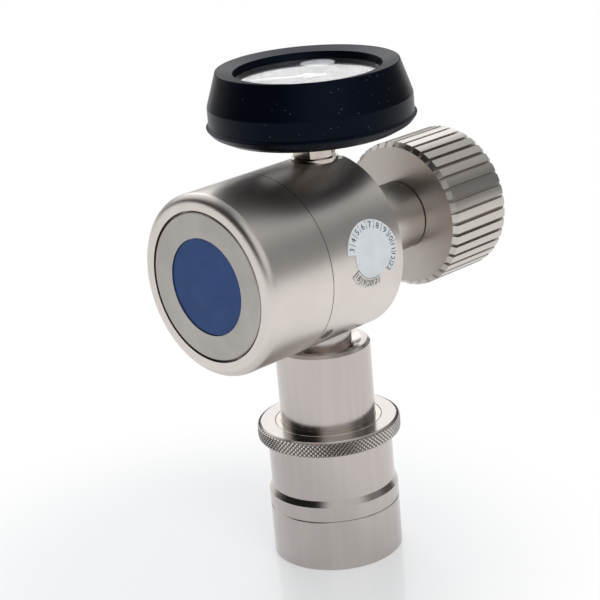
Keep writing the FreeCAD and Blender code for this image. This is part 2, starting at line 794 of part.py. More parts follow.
# Nipple that holds the handwheel on the stem, with its filter and face seal
turned("inlet_nipple", "barrel", [
    ("inlet_bore_radius", "nipple_start"),
    ("nipple_radius", "nipple_start"),
    ("nipple_radius", "flange_start"),
    ("nipple_flange_radius", "flange_start"),
    ("nipple_flange_radius", "flange_end"),
    ("nose_radius", "flange_end"),
    ("nose_radius", "nose_end"),
    ("nose_bore_radius", "nose_end"),
    ("nose_bore_radius", "flange_end"),
    ("inlet_bore_radius", "flange_end"),
])
turned("inlet_filter", "barrel", [
    ("0", "filter_start"),
    ("inlet_bore_radius - thread_gap", "filter_start"),
    ("inlet_bore_radius - thread_gap", "flange_end"),
    ("0", "flange_end"),
])
turned("inlet_seal", "barrel", [
    ("nose_radius + thread_gap", "flange_end"),
    ("inlet_seal_radius", "flange_end"),
    ("inlet_seal_radius", "flange_end + inlet_seal_thickness"),
    ("nose_radius + thread_gap", "flange_end + inlet_seal_thickness"),
])

# Handwheel: a screwed nut with bevelled ends and grooves all round for the grip
handwheel = turned("handwheel", "barrel", [
    ("nipple_radius + journal_gap", "wheel_start"),
    ("wheel_face_radius", "wheel_start"),
    ("wheel_radius", "wheel_start + wheel_bevel"),
    ("wheel_radius", "wheel_end - wheel_bevel"),
    ("wheel_face_radius", "wheel_end"),
    ("wheel_recess_radius", "wheel_end"),
    ("wheel_recess_radius", "wheel_end - wheel_recess_depth"),
    ("inlet_thread_radius + inlet_thread_chamfer", "wheel_end - wheel_recess_depth"),
    ("inlet_thread_radius", "wheel_end - wheel_recess_depth - inlet_thread_chamfer"),
    ("inlet_thread_radius", "relief_end"),
    ("relief_radius", "relief_end"),
    ("relief_radius", "wheel_wall_end"),
    ("nipple_radius + journal_gap", "wheel_wall_end"),
])
groove_side = ("(groove_half_width + (groove_half_width - groove_root_half_width)"
               " * cutter_reach / groove_depth)")
groove = outline(handwheel, "XY_Plane", "grip_groove", [
    ("wheel_radius - groove_depth", "-groove_root_half_width"),
    ("wheel_radius + cutter_reach", "-" + groove_side),
    ("wheel_radius + cutter_reach", groove_side),
    ("wheel_radius - groove_depth", "groove_root_half_width"),
])
groove_cut = handwheel.newObject("PartDesign::Pocket", "grip_groove_cut")
groove_cut.Profile = groove
groove_cut.Type = "ThroughAll"
groove_cut.Reversed = True
before = handwheel.Shape.Volume
doc.recompute()
grooves = handwheel.newObject("PartDesign::PolarPattern", "grip_grooves")
grooves.Originals = [groove_cut]
grooves.Axis = (groove, ["N_Axis"])
grooves.Angle = 360
grooves.setExpression("Occurrences", bound("groove_count"))
handwheel.Tip = grooves
doc.recompute()
print("grooves cut %.0f cubic millimetres" % (before - handwheel.Shape.Volume))

# Gauge connection: copper washer and socket with a hexagon for the spanner
turned("gauge_washer", "gauge", [
    ("port_radius + thread_gap", "port_face_rise"),
    ("washer_radius", "port_face_rise"),
    ("washer_radius", "washer_top_rise"),
    ("port_radius + thread_gap", "washer_top_rise"),
])
socket_blank = turned("gauge_socket_blank", "gauge", [
    ("port_drill_radius", "port_face_rise - port_depth + port_floor_gap"),
    ("port_radius - thread_gap", "port_face_rise - port_depth + port_floor_gap"),
    ("port_radius - thread_gap", "washer_top_rise"),
    ("socket_hex_face_radius", "washer_top_rise"),
    ("socket_hex_corner", "washer_top_rise + socket_hex_bevel"),
    ("socket_hex_corner", "socket_hex_top_rise - socket_hex_bevel"),
    ("socket_hex_face_radius", "socket_hex_top_rise"),
    ("socket_neck_radius", "socket_hex_top_rise"),
    ("socket_neck_radius", "case_bottom_rise"),
    ("socket_block_radius", "case_bottom_rise"),
    ("socket_block_radius", "lower_plate_bottom_rise"),
    ("0", "lower_plate_bottom_rise"),
    ("0", "lower_plate_bottom_rise - socket_top_wall"),
    ("port_drill_radius", "lower_plate_bottom_rise - socket_top_wall"),
])
hex_spot = at("gauge", "washer_top_rise")[0]
cut("gauge_socket", socket_blank, cut(
    "socket_flats",
    rod("socket_flats_ring", "socket_hex_corner + cutter_reach", "socket_hex_length", hex_spot),
    hexagon("socket_hexagon", "socket_hex_corner", "socket_hex_length", hex_spot,
            Rotation(Vector(0, 0, 1), value("socket_hex_angle")))))

# Gauge case, rubber boot, window and dial
turned("gauge_case", "gauge", [
    ("socket_block_radius + thread_gap", "case_bottom_rise"),
    ("case_radius", "case_bottom_rise"),
    ("case_radius", "window_rise + window_thickness"),
    ("case_radius - case_wall", "window_rise + window_thickness"),
    ("case_radius - case_wall", "case_floor_rise"),
    ("socket_block_radius + thread_gap", "case_floor_rise"),
])
boot = turned("gauge_boot", "gauge", [
    ("boot_hole_radius", "boot_bottom_rise"),
    ("boot_floor_radius", "boot_bottom_rise"),
    ("boot_lip_radius", "boot_lip_rise"),
    ("boot_lip_radius", "boot_band_rise"),
    ("boot_shoulder_radius", "boot_band_rise"),
    ("boot_shoulder_radius", "boot_shoulder_rise"),
    ("boot_top_radius", "boot_top_rise"),
    ("boot_mouth_radius + boot_mouth_slope", "boot_top_rise"),
    ("boot_mouth_radius", "window_top_rise + boot_fit"),
    ("case_radius + boot_fit", "window_top_rise + boot_fit"),
    ("case_radius + boot_fit", "case_bottom_rise"),
    ("boot_hole_radius", "case_bottom_rise"),
])
eased(boot, "Chamfer", "boot_lip_edge", [("boot_lip_radius", "boot_lip_rise"),
                                         ("boot_lip_radius", "boot_band_rise")])
eased(boot, "Fillet", "boot_shoulder_rounding", [("boot_shoulder_radius", "boot_shoulder_rise")])
eased(boot, "Fillet", "boot_rim_rounding", [("boot_top_radius", "boot_top_rise")])
eased(boot, "Fillet", "boot_mouth_rounding",
      [("boot_mouth_radius + boot_mouth_slope", "boot_top_rise")])
turned("gauge_window", "gauge", [
    ("0", "window_rise"),
    ("case_radius - case_wall - boot_fit", "window_rise"),
    ("case_radius - case_wall - boot_fit", "window_top_rise"),
    ("0", "window_top_rise"),
])
turned("window_ring", "gauge", [
    ("case_radius - case_wall * 2", "dial_rise + dial_thickness"),
    ("case_radius - case_wall - boot_fit", "dial_rise + dial_thickness"),
    ("case_radius - case_wall - boot_fit", "window_rise"),
    ("case_radius - case_wall * 2", "window_rise"),
])
turned("gauge_dial", "gauge", [
    ("dial_hole_radius", "dial_rise"),
    ("case_radius - case_wall - boot_fit", "dial_rise"),
    ("case_radius - case_wall - boot_fit", "dial_rise + dial_thickness"),
    ("dial_hole_radius", "dial_rise + dial_thickness"),
])


def padded(body, sketch, name, length):
    """Raises a sketch by a length given as an expression."""
    pad = body.newObject("PartDesign::Pad", name)
    pad.Profile = sketch
    pad.setExpression("Length", bound(length))
    doc.recompute()
    return pad


# Pointer: a slim tapered hand on a round hub
pointer = doc.addObject("PartDesign::Body", "pointer")
padded(pointer, outline(pointer, "XY_Plane", "pointer_shape", [
    ("-pointer_tail", "-pointer_half_width"),
    ("0", "-pointer_half_width"),
    ("pointer_length", "-pointer_half_width / 4"),
    ("pointer_length", "pointer_half_width / 4"),
    ("0", "pointer_half_width"),
    ("-pointer_tail", "pointer_half_width"),
]), "pointer_blade", "pointer_thickness")
padded(pointer, circle(pointer, "XY_Plane", "hub_shape", "pointer_hub_radius"),
       "pointer_hub", "pointer_hub_height")
hub_hole = pointer.newObject("PartDesign::Pocket", "hub_hole")
hub_hole.Profile = circle(pointer, "XY_Plane", "hub_hole_shape", "arbor_radius + flat_gap")
hub_hole.Type = "ThroughAll"
hub_hole.Reversed = True


def stood(body, angle, rise, away="0"):
    """Sets a piece on the gauge axis, or away from it, turned by an angle."""
    place(body, (away, "gauge_offset", "body_axis + " + rise))
    body.setExpression("Placement.Rotation.Angle", bound(angle))


stood(pointer, "pointer_rest_angle", "pointer_rise")
doc.recompute()


def toothed(body, pitch, teeth, spread):
    """Adds one tooth to a gear blank and repeats it about the blank's centre."""
    label = body.Name
    tooth = outline(body, "XY_Plane", label + "_tooth_shape", [
        (pitch + " - tooth_root_depth", "-tooth_root_half_width"),
        (pitch + " + tooth_tip_height", "-tooth_tip_half_width"),
        (pitch + " + tooth_tip_height", "tooth_tip_half_width"),
        (pitch + " - tooth_root_depth", "tooth_root_half_width"),
    ])
    pad = padded(body, tooth, label + "_tooth", "gear_thickness")
    pattern = body.newObject("PartDesign::PolarPattern", label + "_teeth")
    pattern.Originals = [pad]
    pattern.Axis = (tooth, ["N_Axis"])
    pattern.setExpression("Angle", bound(spread))
    pattern.setExpression("Occurrences", bound(teeth))
    body.Tip = pattern
    doc.recompute()
    return body


def axled(body, radius, up, down):
    """Adds a round arbor above and below a gear."""
    padded(body, circle(body, "XY_Plane", body.Name + "_arbor_shape", radius),
           body.Name + "_arbor", up)
    foot = padded(body, circle(body, "XY_Plane", body.Name + "_foot_shape", radius),
                  body.Name + "_foot", down)
    foot.Reversed = True
    doc.recompute()


# Pinion: its teeth stand round a small drum, and its arbor runs up to the pointer
pinion = doc.addObject("PartDesign::Body", "pinion")
padded(pinion, circle(pinion, "XY_Plane", "pinion_drum", "pinion_pitch_radius - gear_module"),
       "pinion_blank", "gear_thickness")
toothed(pinion, "pinion_pitch_radius", "pinion_teeth", "360")
axled(pinion, "arbor_radius", "pointer_rise + pointer_hub_height - gear_rise",
      "gear_rise - lower_plate_bottom_rise - arbor_foot_inset")
stood(pinion, "180 / pinion_teeth", "gear_rise")

# Sector: a toothed rim on a pie-shaped web, pivoted beside the pinion
sector_angle = "360 / sector_full_teeth * (sector_cut_teeth - 1)"
rim_radius = "sector_pitch_radius - gear_module"
sector = turned("sector_gear", "gauge", [
    (rim_radius + " - sector_rim", "0"),
    (rim_radius, "0"),
    (rim_radius, "gear_thickness"),
    (rim_radius + " - sector_rim", "gear_thickness"),
], sector_angle)
web_radius = "(%s - sector_rim / 3)" % rim_radius
padded(sector, outline(sector, "XY_Plane", "sector_web_shape", [
    ("0", "-arbor_radius * 2"),
    (web_radius, "0"),
    ("%s * cos(%s)" % (web_radius, sector_angle), "%s * sin(%s)" % (web_radius, sector_angle)),
    ("-arbor_radius * 2", "0"),
]), "sector_web", "gear_thickness")
toothed(sector, "sector_pitch_radius", "sector_cut_teeth", sector_angle)
axled(sector, "arbor_radius", "upper_plate_rise + frame_plate_thickness / 2 - gear_rise",
      "gear_rise - lower_plate_bottom_rise - arbor_foot_inset")
stood(sector, "180 - 360 / sector_full_teeth * sector_rest_teeth", "gear_rise", "gear_distance")


def block(name, low, length, width, height):
    """A square-edged bar whose lowest corner and three lengths are expressions."""
    piece = doc.addObject("Part::Box", name)
    for size, text in (("Length", length), ("Width", width), ("Height", height)):
        piece.setExpression(size, bound(text))
    return place(piece, low)


def united(label, pieces):
    """Several overlapping solids made one."""
    whole = doc.addObject("Part::MultiFuse", label)
    whole.Shapes = pieces
    return whole


# Movement frame: two plates on four posts, bored for the two arbors
plates = []
for plate, rise in (("lower", "lower_plate_bottom_rise"), ("upper", "upper_plate_rise")):
    plates.append(block(plate + "_plate",
                        ("-frame_overhang", "gauge_offset - frame_half_width",
                         "body_axis + " + rise),
                        "frame_overhang + gear_distance + frame_far_overhang", "frame_half_width * 2",
                        "frame_plate_thickness"))
posts = []
for number, (across, along) in enumerate((
        ("-frame_overhang + post_inset", "-1"), ("-frame_overhang + post_inset", "1"),
        ("gear_distance + frame_far_overhang - post_inset", "-1"),
        ("gear_distance + frame_far_overhang - post_inset", "1")), 1):
    posts.append(rod("post_%d" % number, "post_radius",
                     "frame_clear_height + frame_plate_thickness",
                     (across, "gauge_offset + %s * (frame_half_width - post_inset)" % along,
                      "body_axis + lower_plate_rise - frame_plate_thickness / 2")))
frame_blank = united("movement_frame_blank", plates + posts)
bearings = [rod("bearing_%d" % number, "arbor_radius + bearing_gap",
                "frame_clear_height + (frame_plate_thickness + cutter_reach) * 2",
                (across, "gauge_offset", "body_axis + lower_plate_bottom_rise - cutter_reach"))
            for number, across in enumerate(("0", "gear_distance"), 1)]
cut("movement_frame", frame_blank, *bearings)

# Bourdon tube: a flat tube bent round the movement, held by a root on the socket block
tube = turned("bourdon_tube", "gauge", [
    ("tube_radius - tube_half_width", "0"),
    ("tube_radius + tube_half_width", "0"),
    ("tube_radius + tube_half_width", "tube_height"),
    ("tube_radius - tube_half_width", "tube_height"),
], "tube_angle")
padded(tube, outline(tube, "XY_Plane", "tube_root_shape", [
    ("socket_block_radius + thread_gap", "0"),
    ("tube_radius", "0"),
    ("tube_radius", "tube_root_half_width * 2"),
    ("socket_block_radius + thread_gap", "tube_root_half_width * 2"),
]), "tube_root", "tube_height")
stood(tube, "tube_start_angle", "tube_rise")

# Coupler neck: the plain upper cylinder with its coned top, outlet stub and clip groove
neck = turned("coupler_neck", "coupler", [
    ("barrel_thread_radius + thread_gap", "neck_bottom"),
    ("neck_radius", "neck_bottom"),
    ("neck_radius", "clip_bottom - flat_gap"),
    ("neck_radius - clip_groove_depth", "clip_bottom - flat_gap"),
    ("neck_radius - clip_groove_depth", "clip_top + flat_gap"),
    ("neck_radius", "clip_top + flat_gap"),
    ("neck_radius", "coupler_height"),
    ("neck_radius - neck_top_chamfer - neck_ring_width", "coupler_height"),
    ("neck_collar_radius", "coupler_height - neck_cone_depth"),
    ("neck_collar_radius", "collar_seat"),
    ("stub_radius", "collar_seat"),
    ("stub_radius", "stub_top"),
    ("gas_bore_radius", "stub_top"),
    ("gas_bore_radius", "check_chamber_top"),
    ("check_chamber_radius", "check_chamber_top"),
    ("check_chamber_radius", "barrel_end"),
    ("barrel_thread_radius + thread_gap", "barrel_end"),
])
eased(neck, "Chamfer", "neck_top_chamfer", [("neck_radius", "coupler_height")])
turned("outlet_seal", "coupler", [
    ("stub_radius + thread_gap", "collar_seat"),
    ("neck_collar_radius", "collar_seat"),
    ("neck_collar_radius", "outlet_face"),
    ("stub_radius + thread_gap", "outlet_face"),
])

# Probe barrel: takes the probe from below and carries the locking balls in spherical seats
barrel_blank = turned("probe_barrel_blank", "coupler", [
    ("probe_bore_radius", "0"),
    ("probe_barrel_radius", "0"),
    ("probe_barrel_radius", "neck_bottom"),
    ("barrel_thread_radius", "neck_bottom"),
    ("barrel_thread_radius", "barrel_end"),
    ("check_chamber_radius", "barrel_end"),
    ("check_chamber_radius", "check_seat"),
    ("probe_relief_radius", "check_seat"),
    ("probe_relief_radius", "probe_bore_length"),
    ("probe_bore_radius", "probe_bore_length"),
])


def ball_spot(angle):
    return "ball_seat_radius * cos(%s)" % angle, "ball_seat_radius * sin(%s)" % angle, "ball_height"


def ball(name, radius, angle):
    """A ball at the locked place, at an angle round the coupler's axis."""
    piece = doc.addObject("Part::Sphere", name)
    piece.setExpression("Radius", bound(radius))
    return place(piece, ball_spot(angle))


ball_holes = []
for number in range(1, SIZES["ball_count"] + 1):
    angle = "360 / ball_count * (%d - 0.5)" % number
    ball("locking_ball_%d" % number, "ball_radius", angle)
    ball_holes.append(ball("ball_seat_%d" % number, "ball_radius + ball_gap", angle))
    turn = Rotation(Vector(0, 0, 1), value(angle)) * Rotation(Vector(0, 1, 0), 90)
    ball_holes.append(rod("ball_hole_%d" % number, "ball_radius + ball_gap",
                          "probe_barrel_radius", ball_spot(angle), turn))
cut("probe_barrel", barrel_blank, *ball_holes)

# Index collar: the fixed lower ring that only the right probe enters
collar = turned("index_collar", "coupler", [
    ("probe_barrel_radius + thread_gap", "0"),
    ("collar_radius", "0"),
    ("collar_radius", "collar_top"),
    ("probe_barrel_radius + thread_gap", "collar_top"),
])
eased(collar, "Chamfer", "collar_bottom_chamfer", [("collar_radius", "0"),
                                                   ("collar_radius", "collar_top")])

# Release sleeve: grip ring above, spring pocket, close land, and a cone that holds the balls
sleeve = turned("release_sleeve", "coupler", [
    ("sleeve_lower_bore_radius", "sleeve_bottom"),
    ("collar_radius", "sleeve_bottom"),
    ("collar_radius", "sleeve_cone_height"),
    ("sleeve_radius", "sleeve_cone_top"),
    ("sleeve_radius", "grip_bottom"),
    ("grip_radius", "grip_bottom"),
    ("grip_radius", "grip_top"),
    ("bush_radius + thread_gap", "grip_top"),
    ("bush_radius + thread_gap", "bush_bottom"),
    ("sleeve_pocket_radius", "bush_bottom"),
    ("sleeve_pocket_radius", "sleeve_shoulder_height"),
    ("land_radius", "sleeve_shoulder_height"),
    ("land_radius", "cone_end_height"),
    ("sleeve_lower_bore_radius", "cone_start_height"),
])
eased(sleeve, "Chamfer", "grip_bevel", [("grip_radius", "grip_bottom"),
                                        ("grip_radius", "grip_top")])
turned("sleeve_bush", "coupler", [
    ("neck_radius + slide_gap", "bush_bottom"),
    ("bush_radius", "bush_bottom"),
    ("bush_radius", "grip_top - bush_edge"),
    ("bush_radius - bush_edge", "grip_top"),
    ("neck_radius + slide_gap", "grip_top"),
])
clip = turned("spring_clip", "coupler", [
    ("neck_radius - clip_groove_depth + thread_gap", "clip_bottom"),
    ("clip_radius", "clip_bottom"),
    ("clip_radius", "clip_top"),
    ("neck_radius - clip_groove_depth + thread_gap", "clip_top"),
], "360 - clip_opening_angle")
coil("sleeve_spring", "coupler", "sleeve_shoulder_height", "sleeve_spring_radius",
     "sleeve_wire_radius", "sleeve_spring_length", "sleeve_spring_turns")

# Seat ring, and the check valve on it that opens when a probe pushes it up
turned("check_seat_ring", "coupler", [
    ("check_hole_radius", "probe_bore_end"),
    ("probe_relief_radius - thread_gap", "probe_bore_end"),
    ("probe_relief_radius - thread_gap", "check_seat"),
    ("check_hole_radius", "check_seat"),
])
turned("check_seal", "coupler", [
    ("check_nose_radius + flat_gap", "check_face"),
    ("check_head_radius", "check_face"),
    ("check_head_radius", "check_face + check_seal_thickness"),
    ("check_nose_radius + flat_gap", "check_face + check_seal_thickness"),
])
check_guide = "check_chamber_radius - slide_gap"
check_blank = turned("check_valve_blank", "coupler", [
    ("0", "check_face - check_stem_length"),
    ("check_stem_radius", "check_face - check_stem_length"),
    ("check_stem_radius", "check_face"),
    ("check_nose_radius", "check_face"),
    ("check_nose_radius", "check_face + check_seal_thickness"),
    ("check_head_radius", "check_face + check_seal_thickness"),
    (check_guide, "check_face + check_rim_length"),
    (check_guide, "check_head_top"),
    ("check_spigot_radius", "check_head_top"),
    ("check_spigot_radius", "check_head_top + check_spigot_length"),
    ("0", "check_head_top + check_spigot_length"),
])
joined("Common", "check_valve", check_blank, [
    hexagon("check_flats", "(%s) * hex_corner_share" % check_guide,
            "check_stem_length + check_head_length + check_spigot_length",
            *at("coupler", "check_face - check_stem_length"))])
coil("check_spring", "coupler", "check_head_top", "check_spring_radius", "check_wire_radius",
     "check_spring_length", "check_spring_turns")
turned("probe_seal", "coupler", [
    ("probe_seal_hole_radius", "probe_seal_start"),
    ("probe_relief_radius - thread_gap", "probe_seal_start"),
    ("probe_relief_radius - thread_gap", "probe_bore_end"),
    ("probe_seal_hole_radius", "probe_bore_end"),
])

# Round test date sticker: a patch of thin shell on the barrel's flank
along_barrel = Rotation(Vector(1, 0, 0), -90)
shell_length = "(sticker_radius + cutter_reach) * 2"
shell_start = "sticker_station - sticker_radius - cutter_reach - front_to_coupler"
shell_outer = rod("sticker_shell_outer", "barrel_radius + flat_gap + sticker_thickness",
                  shell_length, ("0", shell_start, "body_axis"), along_barrel)
shell_inner = rod("sticker_shell_inner", "barrel_radius + flat_gap",
                  shell_length + " + cutter_reach * 2",
                  ("0", shell_start + " - cutter_reach", "body_axis"), along_barrel)
sticker_shell = cut("sticker_shell", shell_outer, shell_inner)
sticker_turn = Rotation(Vector(0, 1, 0), 90 - value("sticker_angle"))
joined("Common", "test_sticker", sticker_shell, [
    rod("sticker_round", "sticker_radius", "barrel_radius * 2",
        ("0", "sticker_station - front_to_coupler", "body_axis"), sticker_turn)])

# Every object and every finished piece is checked before anything is written
doc.recompute()
failed = [item.Label for item in doc.Objects if "Invalid" in item.State or "Error" in item.State]
if failed:
    raise SystemExit("These did not build: " + ", ".join(failed))
KINDS = ("PartDesign::Body", "Part::Cut", "Part::Common", "Part::MultiFuse", "Part::Sphere")
pieces = [item for item in doc.Objects if item.TypeId in KINDS and not item.InList]
for piece in pieces:
    shape = piece.Shape
    if shape.isNull() or not shape.isValid() or len(shape.Solids) != 1:
        raise SystemExit(piece.Label + " is not one valid solid")

os.makedirs("parts", exist_ok=True)
for piece in pieces:
    piece.Shape.exportStep("parts/%s.step" % piece.Label)
print("%d pieces" % len(pieces))
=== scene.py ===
# %% [markdown]
# # A nitrous oxide regulator
#
# The object is a small pressure regulator for a gas cylinder. Its solids come finished from the
# CAD model, each already in its place. This notebook gives them their surfaces, adds the fine
# relief and print that a mesh holds better than a solid, and lights and frames the picture.

# %% Open the frame
import math

import bpy
import numpy as np
from mathutils import Matrix, Vector


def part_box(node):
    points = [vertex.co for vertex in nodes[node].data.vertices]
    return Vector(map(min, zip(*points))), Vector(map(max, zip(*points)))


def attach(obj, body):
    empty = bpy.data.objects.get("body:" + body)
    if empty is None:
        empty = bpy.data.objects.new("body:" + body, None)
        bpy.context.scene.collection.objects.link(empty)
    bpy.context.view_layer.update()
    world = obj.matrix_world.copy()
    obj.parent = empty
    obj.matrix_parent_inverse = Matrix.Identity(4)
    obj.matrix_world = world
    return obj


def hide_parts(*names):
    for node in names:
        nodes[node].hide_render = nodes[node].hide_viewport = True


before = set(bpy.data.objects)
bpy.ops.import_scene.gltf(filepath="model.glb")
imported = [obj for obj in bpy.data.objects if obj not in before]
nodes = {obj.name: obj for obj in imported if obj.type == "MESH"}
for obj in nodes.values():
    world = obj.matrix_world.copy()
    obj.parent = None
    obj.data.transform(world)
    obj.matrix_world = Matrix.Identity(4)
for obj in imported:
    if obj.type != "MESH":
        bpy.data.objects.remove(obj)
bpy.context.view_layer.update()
slot_of = {name: node.material_slots[0].name for name, node in nodes.items()}
MM = 0.001
print(len(nodes), "solids in", len(set(slot_of.values())), "finishes")

# %% [markdown]
# ## Landmarks
#
# Pieces that are added later sit on the solids, so their places are read from the solids' boxes
# and never typed in twice. The barrel's axis runs level along Y, and the gauge's axis stands
# upright. The coupler's axis is the Z axis itself. Lengths are in mm, and are turned to metres
# where Blender takes them.


# %% Read the axes off the solids
def box_mm(name):
    """The lowest and the highest corner of a solid's box in mm."""
    low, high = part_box(name)
    return np.array(low) / MM, np.array(high) / MM


bonnet_low, bonnet_high = box_mm("bonnet")
BARREL_Z = (bonnet_low[2] + bonnet_high[2]) / 2
BARREL_RADIUS = (bonnet_high[2] - bonnet_low[2]) / 2
dial_low, dial_high = box_mm("gauge_dial")
GAUGE_Y = (dial_low[1] + dial_high[1]) / 2
DIAL_TOP = dial_high[2]

pointer_points = np.array([v.co[:] for v in nodes["pointer"].data.vertices]) / MM
pointer_arms = pointer_points[:, :2] - (0, GAUGE_Y)
pointer_tip = pointer_arms[np.argmax(np.hypot(*pointer_arms.T))]
POINTER_REST = math.atan2(pointer_tip[1], pointer_tip[0])
print("barrel axis at", round(BARREL_Z, 2), "mm, radius", round(BARREL_RADIUS, 2),
      "mm; pointer rests at", round(math.degrees(POINTER_REST), 1), "degrees")

# %% [markdown]
# ## Camera
#
# The photograph was taken with a long lens from the front right and a little above, and the
# camera was tipped by five degrees, so that the regulator seems to lean. A camera is aimed by
# three turns: the azimuth round Z, the elevation, and the roll about its own line of sight.

# %% Place the camera
CAMERA_PLACE = Vector((358.216, -345.304, 242.896)) * MM
AZIMUTH = math.radians(46.646)
ELEVATION = math.radians(18.682)
ROLL = math.radians(4.979)
LENS = 113.576

eye = bpy.data.cameras.new("Long lens")
eye.lens = LENS
eye.clip_start = 0.01
eye.clip_end = 20
camera = bpy.data.objects.new("Camera", eye)
aim = (Matrix.Rotation(AZIMUTH, 4, "Z") @ Matrix.Rotation(math.pi / 2 - ELEVATION, 4, "X")
       @ Matrix.Rotation(-ROLL, 4, "Z"))
camera.matrix_world = Matrix.Translation(CAMERA_PLACE) @ aim
bpy.context.scene.collection.objects.link(camera)
bpy.context.scene.camera = camera
bpy.context.scene.view_settings.view_transform = "Standard"
print("camera is", round(CAMERA_PLACE.length, 3), "m from the coupler's foot")

# %% [markdown]
# ## Helpers for every finish
#
# Colours are written as sRGB hex codes, which is how a swatch gives them, and turned to the
# linear values that shaders work with. One function adds any node with its settings and links,
# and one starts a material that has a single shader and knows the point on the object.


# %% Turn a hex code to linear colour
def linear(code):
    """Each channel c becomes c / 12.92 up to .04045, and ((c + .055) / 1.055)^2.4 above it."""
    channels = [int(code[i:i + 2], 16) / 255 for i in (1, 3, 5)]
    lit = [c / 12.92 if c <= 0.04045 else ((c + 0.055) / 1.055) ** 2.4 for c in channels]
    return (*lit, 1.0)


print("mid grey is", round(linear("#808080")[0], 3), "in linear light")


# %% Add any node and start a finish
def add(tree, kind, feeds=None, **settings):
    """A new node: settings go to its options, feeds to its sockets, as a link or as a number."""
    node = tree.nodes.new("ShaderNode" + kind)
    for name, choice in settings.items():
        setattr(node, name, choice)
    for socket, source in (feeds or {}).items():
        if isinstance(source, bpy.types.NodeSocket):
            tree.links.new(source, node.inputs[socket])
        else:
            node.inputs[socket].default_value = source
    return node


def new_finish(name, colour, metallic, roughness):
    """A material with one shader, returned with its tree, shader and the point on the object."""
    material = bpy.data.materials.new(name)
    material.use_nodes = True
    tree = material.node_tree
    shader = tree.nodes["Principled BSDF"]
    shader.inputs["Base Color"].default_value = linear(colour)
    shader.inputs["Metallic"].default_value = metallic
    shader.inputs["Roughness"].default_value = roughness
    return material, tree, shader, add(tree, "TexCoord").outputs["Object"]


print(len(bpy.data.materials), "materials before the first finish")

# %% [markdown]
# Most nodes of a finish are ramps between two levels, sums, mixes of two colours and clouds of
# noise. Each gets a short function, so that a finish reads as a list of what it does.


# %% Name the usual nodes
def ramp(tree, value, start, end, low=0.0, high=1.0, eased=False):
    """low up to the start and high from the end on, with a straight or an eased line between."""
    levels = {"Value": value, "From Min": start, "From Max": end, "To Min": low, "To Max": high}
    line = "SMOOTHSTEP" if eased else "LINEAR"
    return add(tree, "MapRange", levels, interpolation_type=line).outputs["Result"]


def maths(tree, operation, *values):
    """One sum of numbers or links, such as ADD, MULTIPLY or MAXIMUM."""
    return add(tree, "Math", dict(enumerate(values)), operation=operation).outputs["Value"]


def vector_maths(tree, operation, *values):
    """One sum of vectors, whose answer is a number for a length, a distance or a dot product."""
    answers = add(tree, "VectorMath", dict(enumerate(values)), operation=operation).outputs
    return answers["Value" if operation in ("LENGTH", "DISTANCE", "DOT_PRODUCT") else "Vector"]


def blend(tree, share, low, high):
    """The colour (1 - share) * low + share * high, each given as a hex code or as a link."""
    ends = [linear(end) if isinstance(end, str) else end for end in (low, high)]
    return add(tree, "Mix", {0: share, 6: ends[0], 7: ends[1]}, data_type="RGBA").outputs[2]


def clouds(tree, place, size, detail=2.0, stretch=(1, 1, 1)):
    """Noise from 0 to 1 with clouds of a size in mm, drawn out where the stretch is under 1."""
    scaled = add(tree, "Mapping", {"Vector": place, "Scale": stretch}).outputs["Vector"]
    feeds = {"Vector": scaled, "Scale": 1 / (size * MM), "Detail": detail}
    return add(tree, "TexNoise", feeds).outputs["Fac"]


print("clouds of 5 mm have a noise scale of", round(1 / (5 * MM)), "to the metre")


# %% Colour, grain and dress a solid
SHADE_LEVELS = (0.35, 0.65)
GRAIN_LEVELS = (0.3, 0.7)


def emboss(tree, shader, height, depth, invert=False):
    """The shader takes light as if heights from 0 to 1 stood for 0 to a depth in mm."""
    feeds = {"Height": height, "Distance": depth * MM, "Strength": 1.0}
    bump = add(tree, "Bump", feeds, invert=invert)
    tree.links.new(bump.outputs["Normal"], shader.inputs["Normal"])


def shade(tree, shader, place, size, colours, stretch=(1, 1, 1)):
    """Clouds of a size in mm mix two colours, by a ramp between the two shade levels."""
    level = ramp(tree, clouds(tree, place, size, 3.0, stretch), *SHADE_LEVELS)
    tree.links.new(blend(tree, level, *colours), shader.inputs["Base Color"])


def grain(tree, shader, place, size, depth, roughs=None, stretch=(1, 1, 1)):
    """A fine relief of noise with a size and a depth in mm, and a roughness that follows it."""
    grit = clouds(tree, place, size, 2.0, stretch)
    emboss(tree, shader, grit, depth)
    if roughs:
        tree.links.new(ramp(tree, grit, *GRAIN_LEVELS, *roughs), shader.inputs["Roughness"])


def dress(slot, material):
    """Every solid of a slot gets the material in place of the plain one that it came with."""
    dressed = [name for name in nodes if slot_of[name] == slot]
    for name in dressed:
        nodes[name].material_slots[0].material = material
    print(material.name + ":", ", ".join(dressed))


print("slots to dress:", ", ".join(sorted(set(slot_of.values()))))

# %% [markdown]
# ## Blasted nickel on the barrel
#
# The barrel is brass, blasted with fine glass beads and nickel plated. Blasting scatters each
# reflection, so the eye sees broad soft bands instead of a mirror picture. Beads of about
# 0.1 mm leave dimples too fine for the picture, so they are drawn at 0.6 mm and very shallow.

# %% Nickel of the barrel
blasted, tree, shader, place = new_finish("Bead blasted nickel", "#DAD3CD", 1.0, 0.35)
shade(tree, shader, place, 14, ("#D6CFC9", "#DED7D1"))
grain(tree, shader, place, 0.6, 0.0004, (0.33, 0.37))
dress("satin_nickel", blasted)

# %% [markdown]
# ## Turned nickel on the front cap
#
# The cap's face was turned on a lathe, so its marks are circles round the barrel's axis. Noise
# of the distance from that axis alone gives such rings. Real ones are about 0.05 mm apart, and
# are drawn at 0.3 mm so that they catch some light.

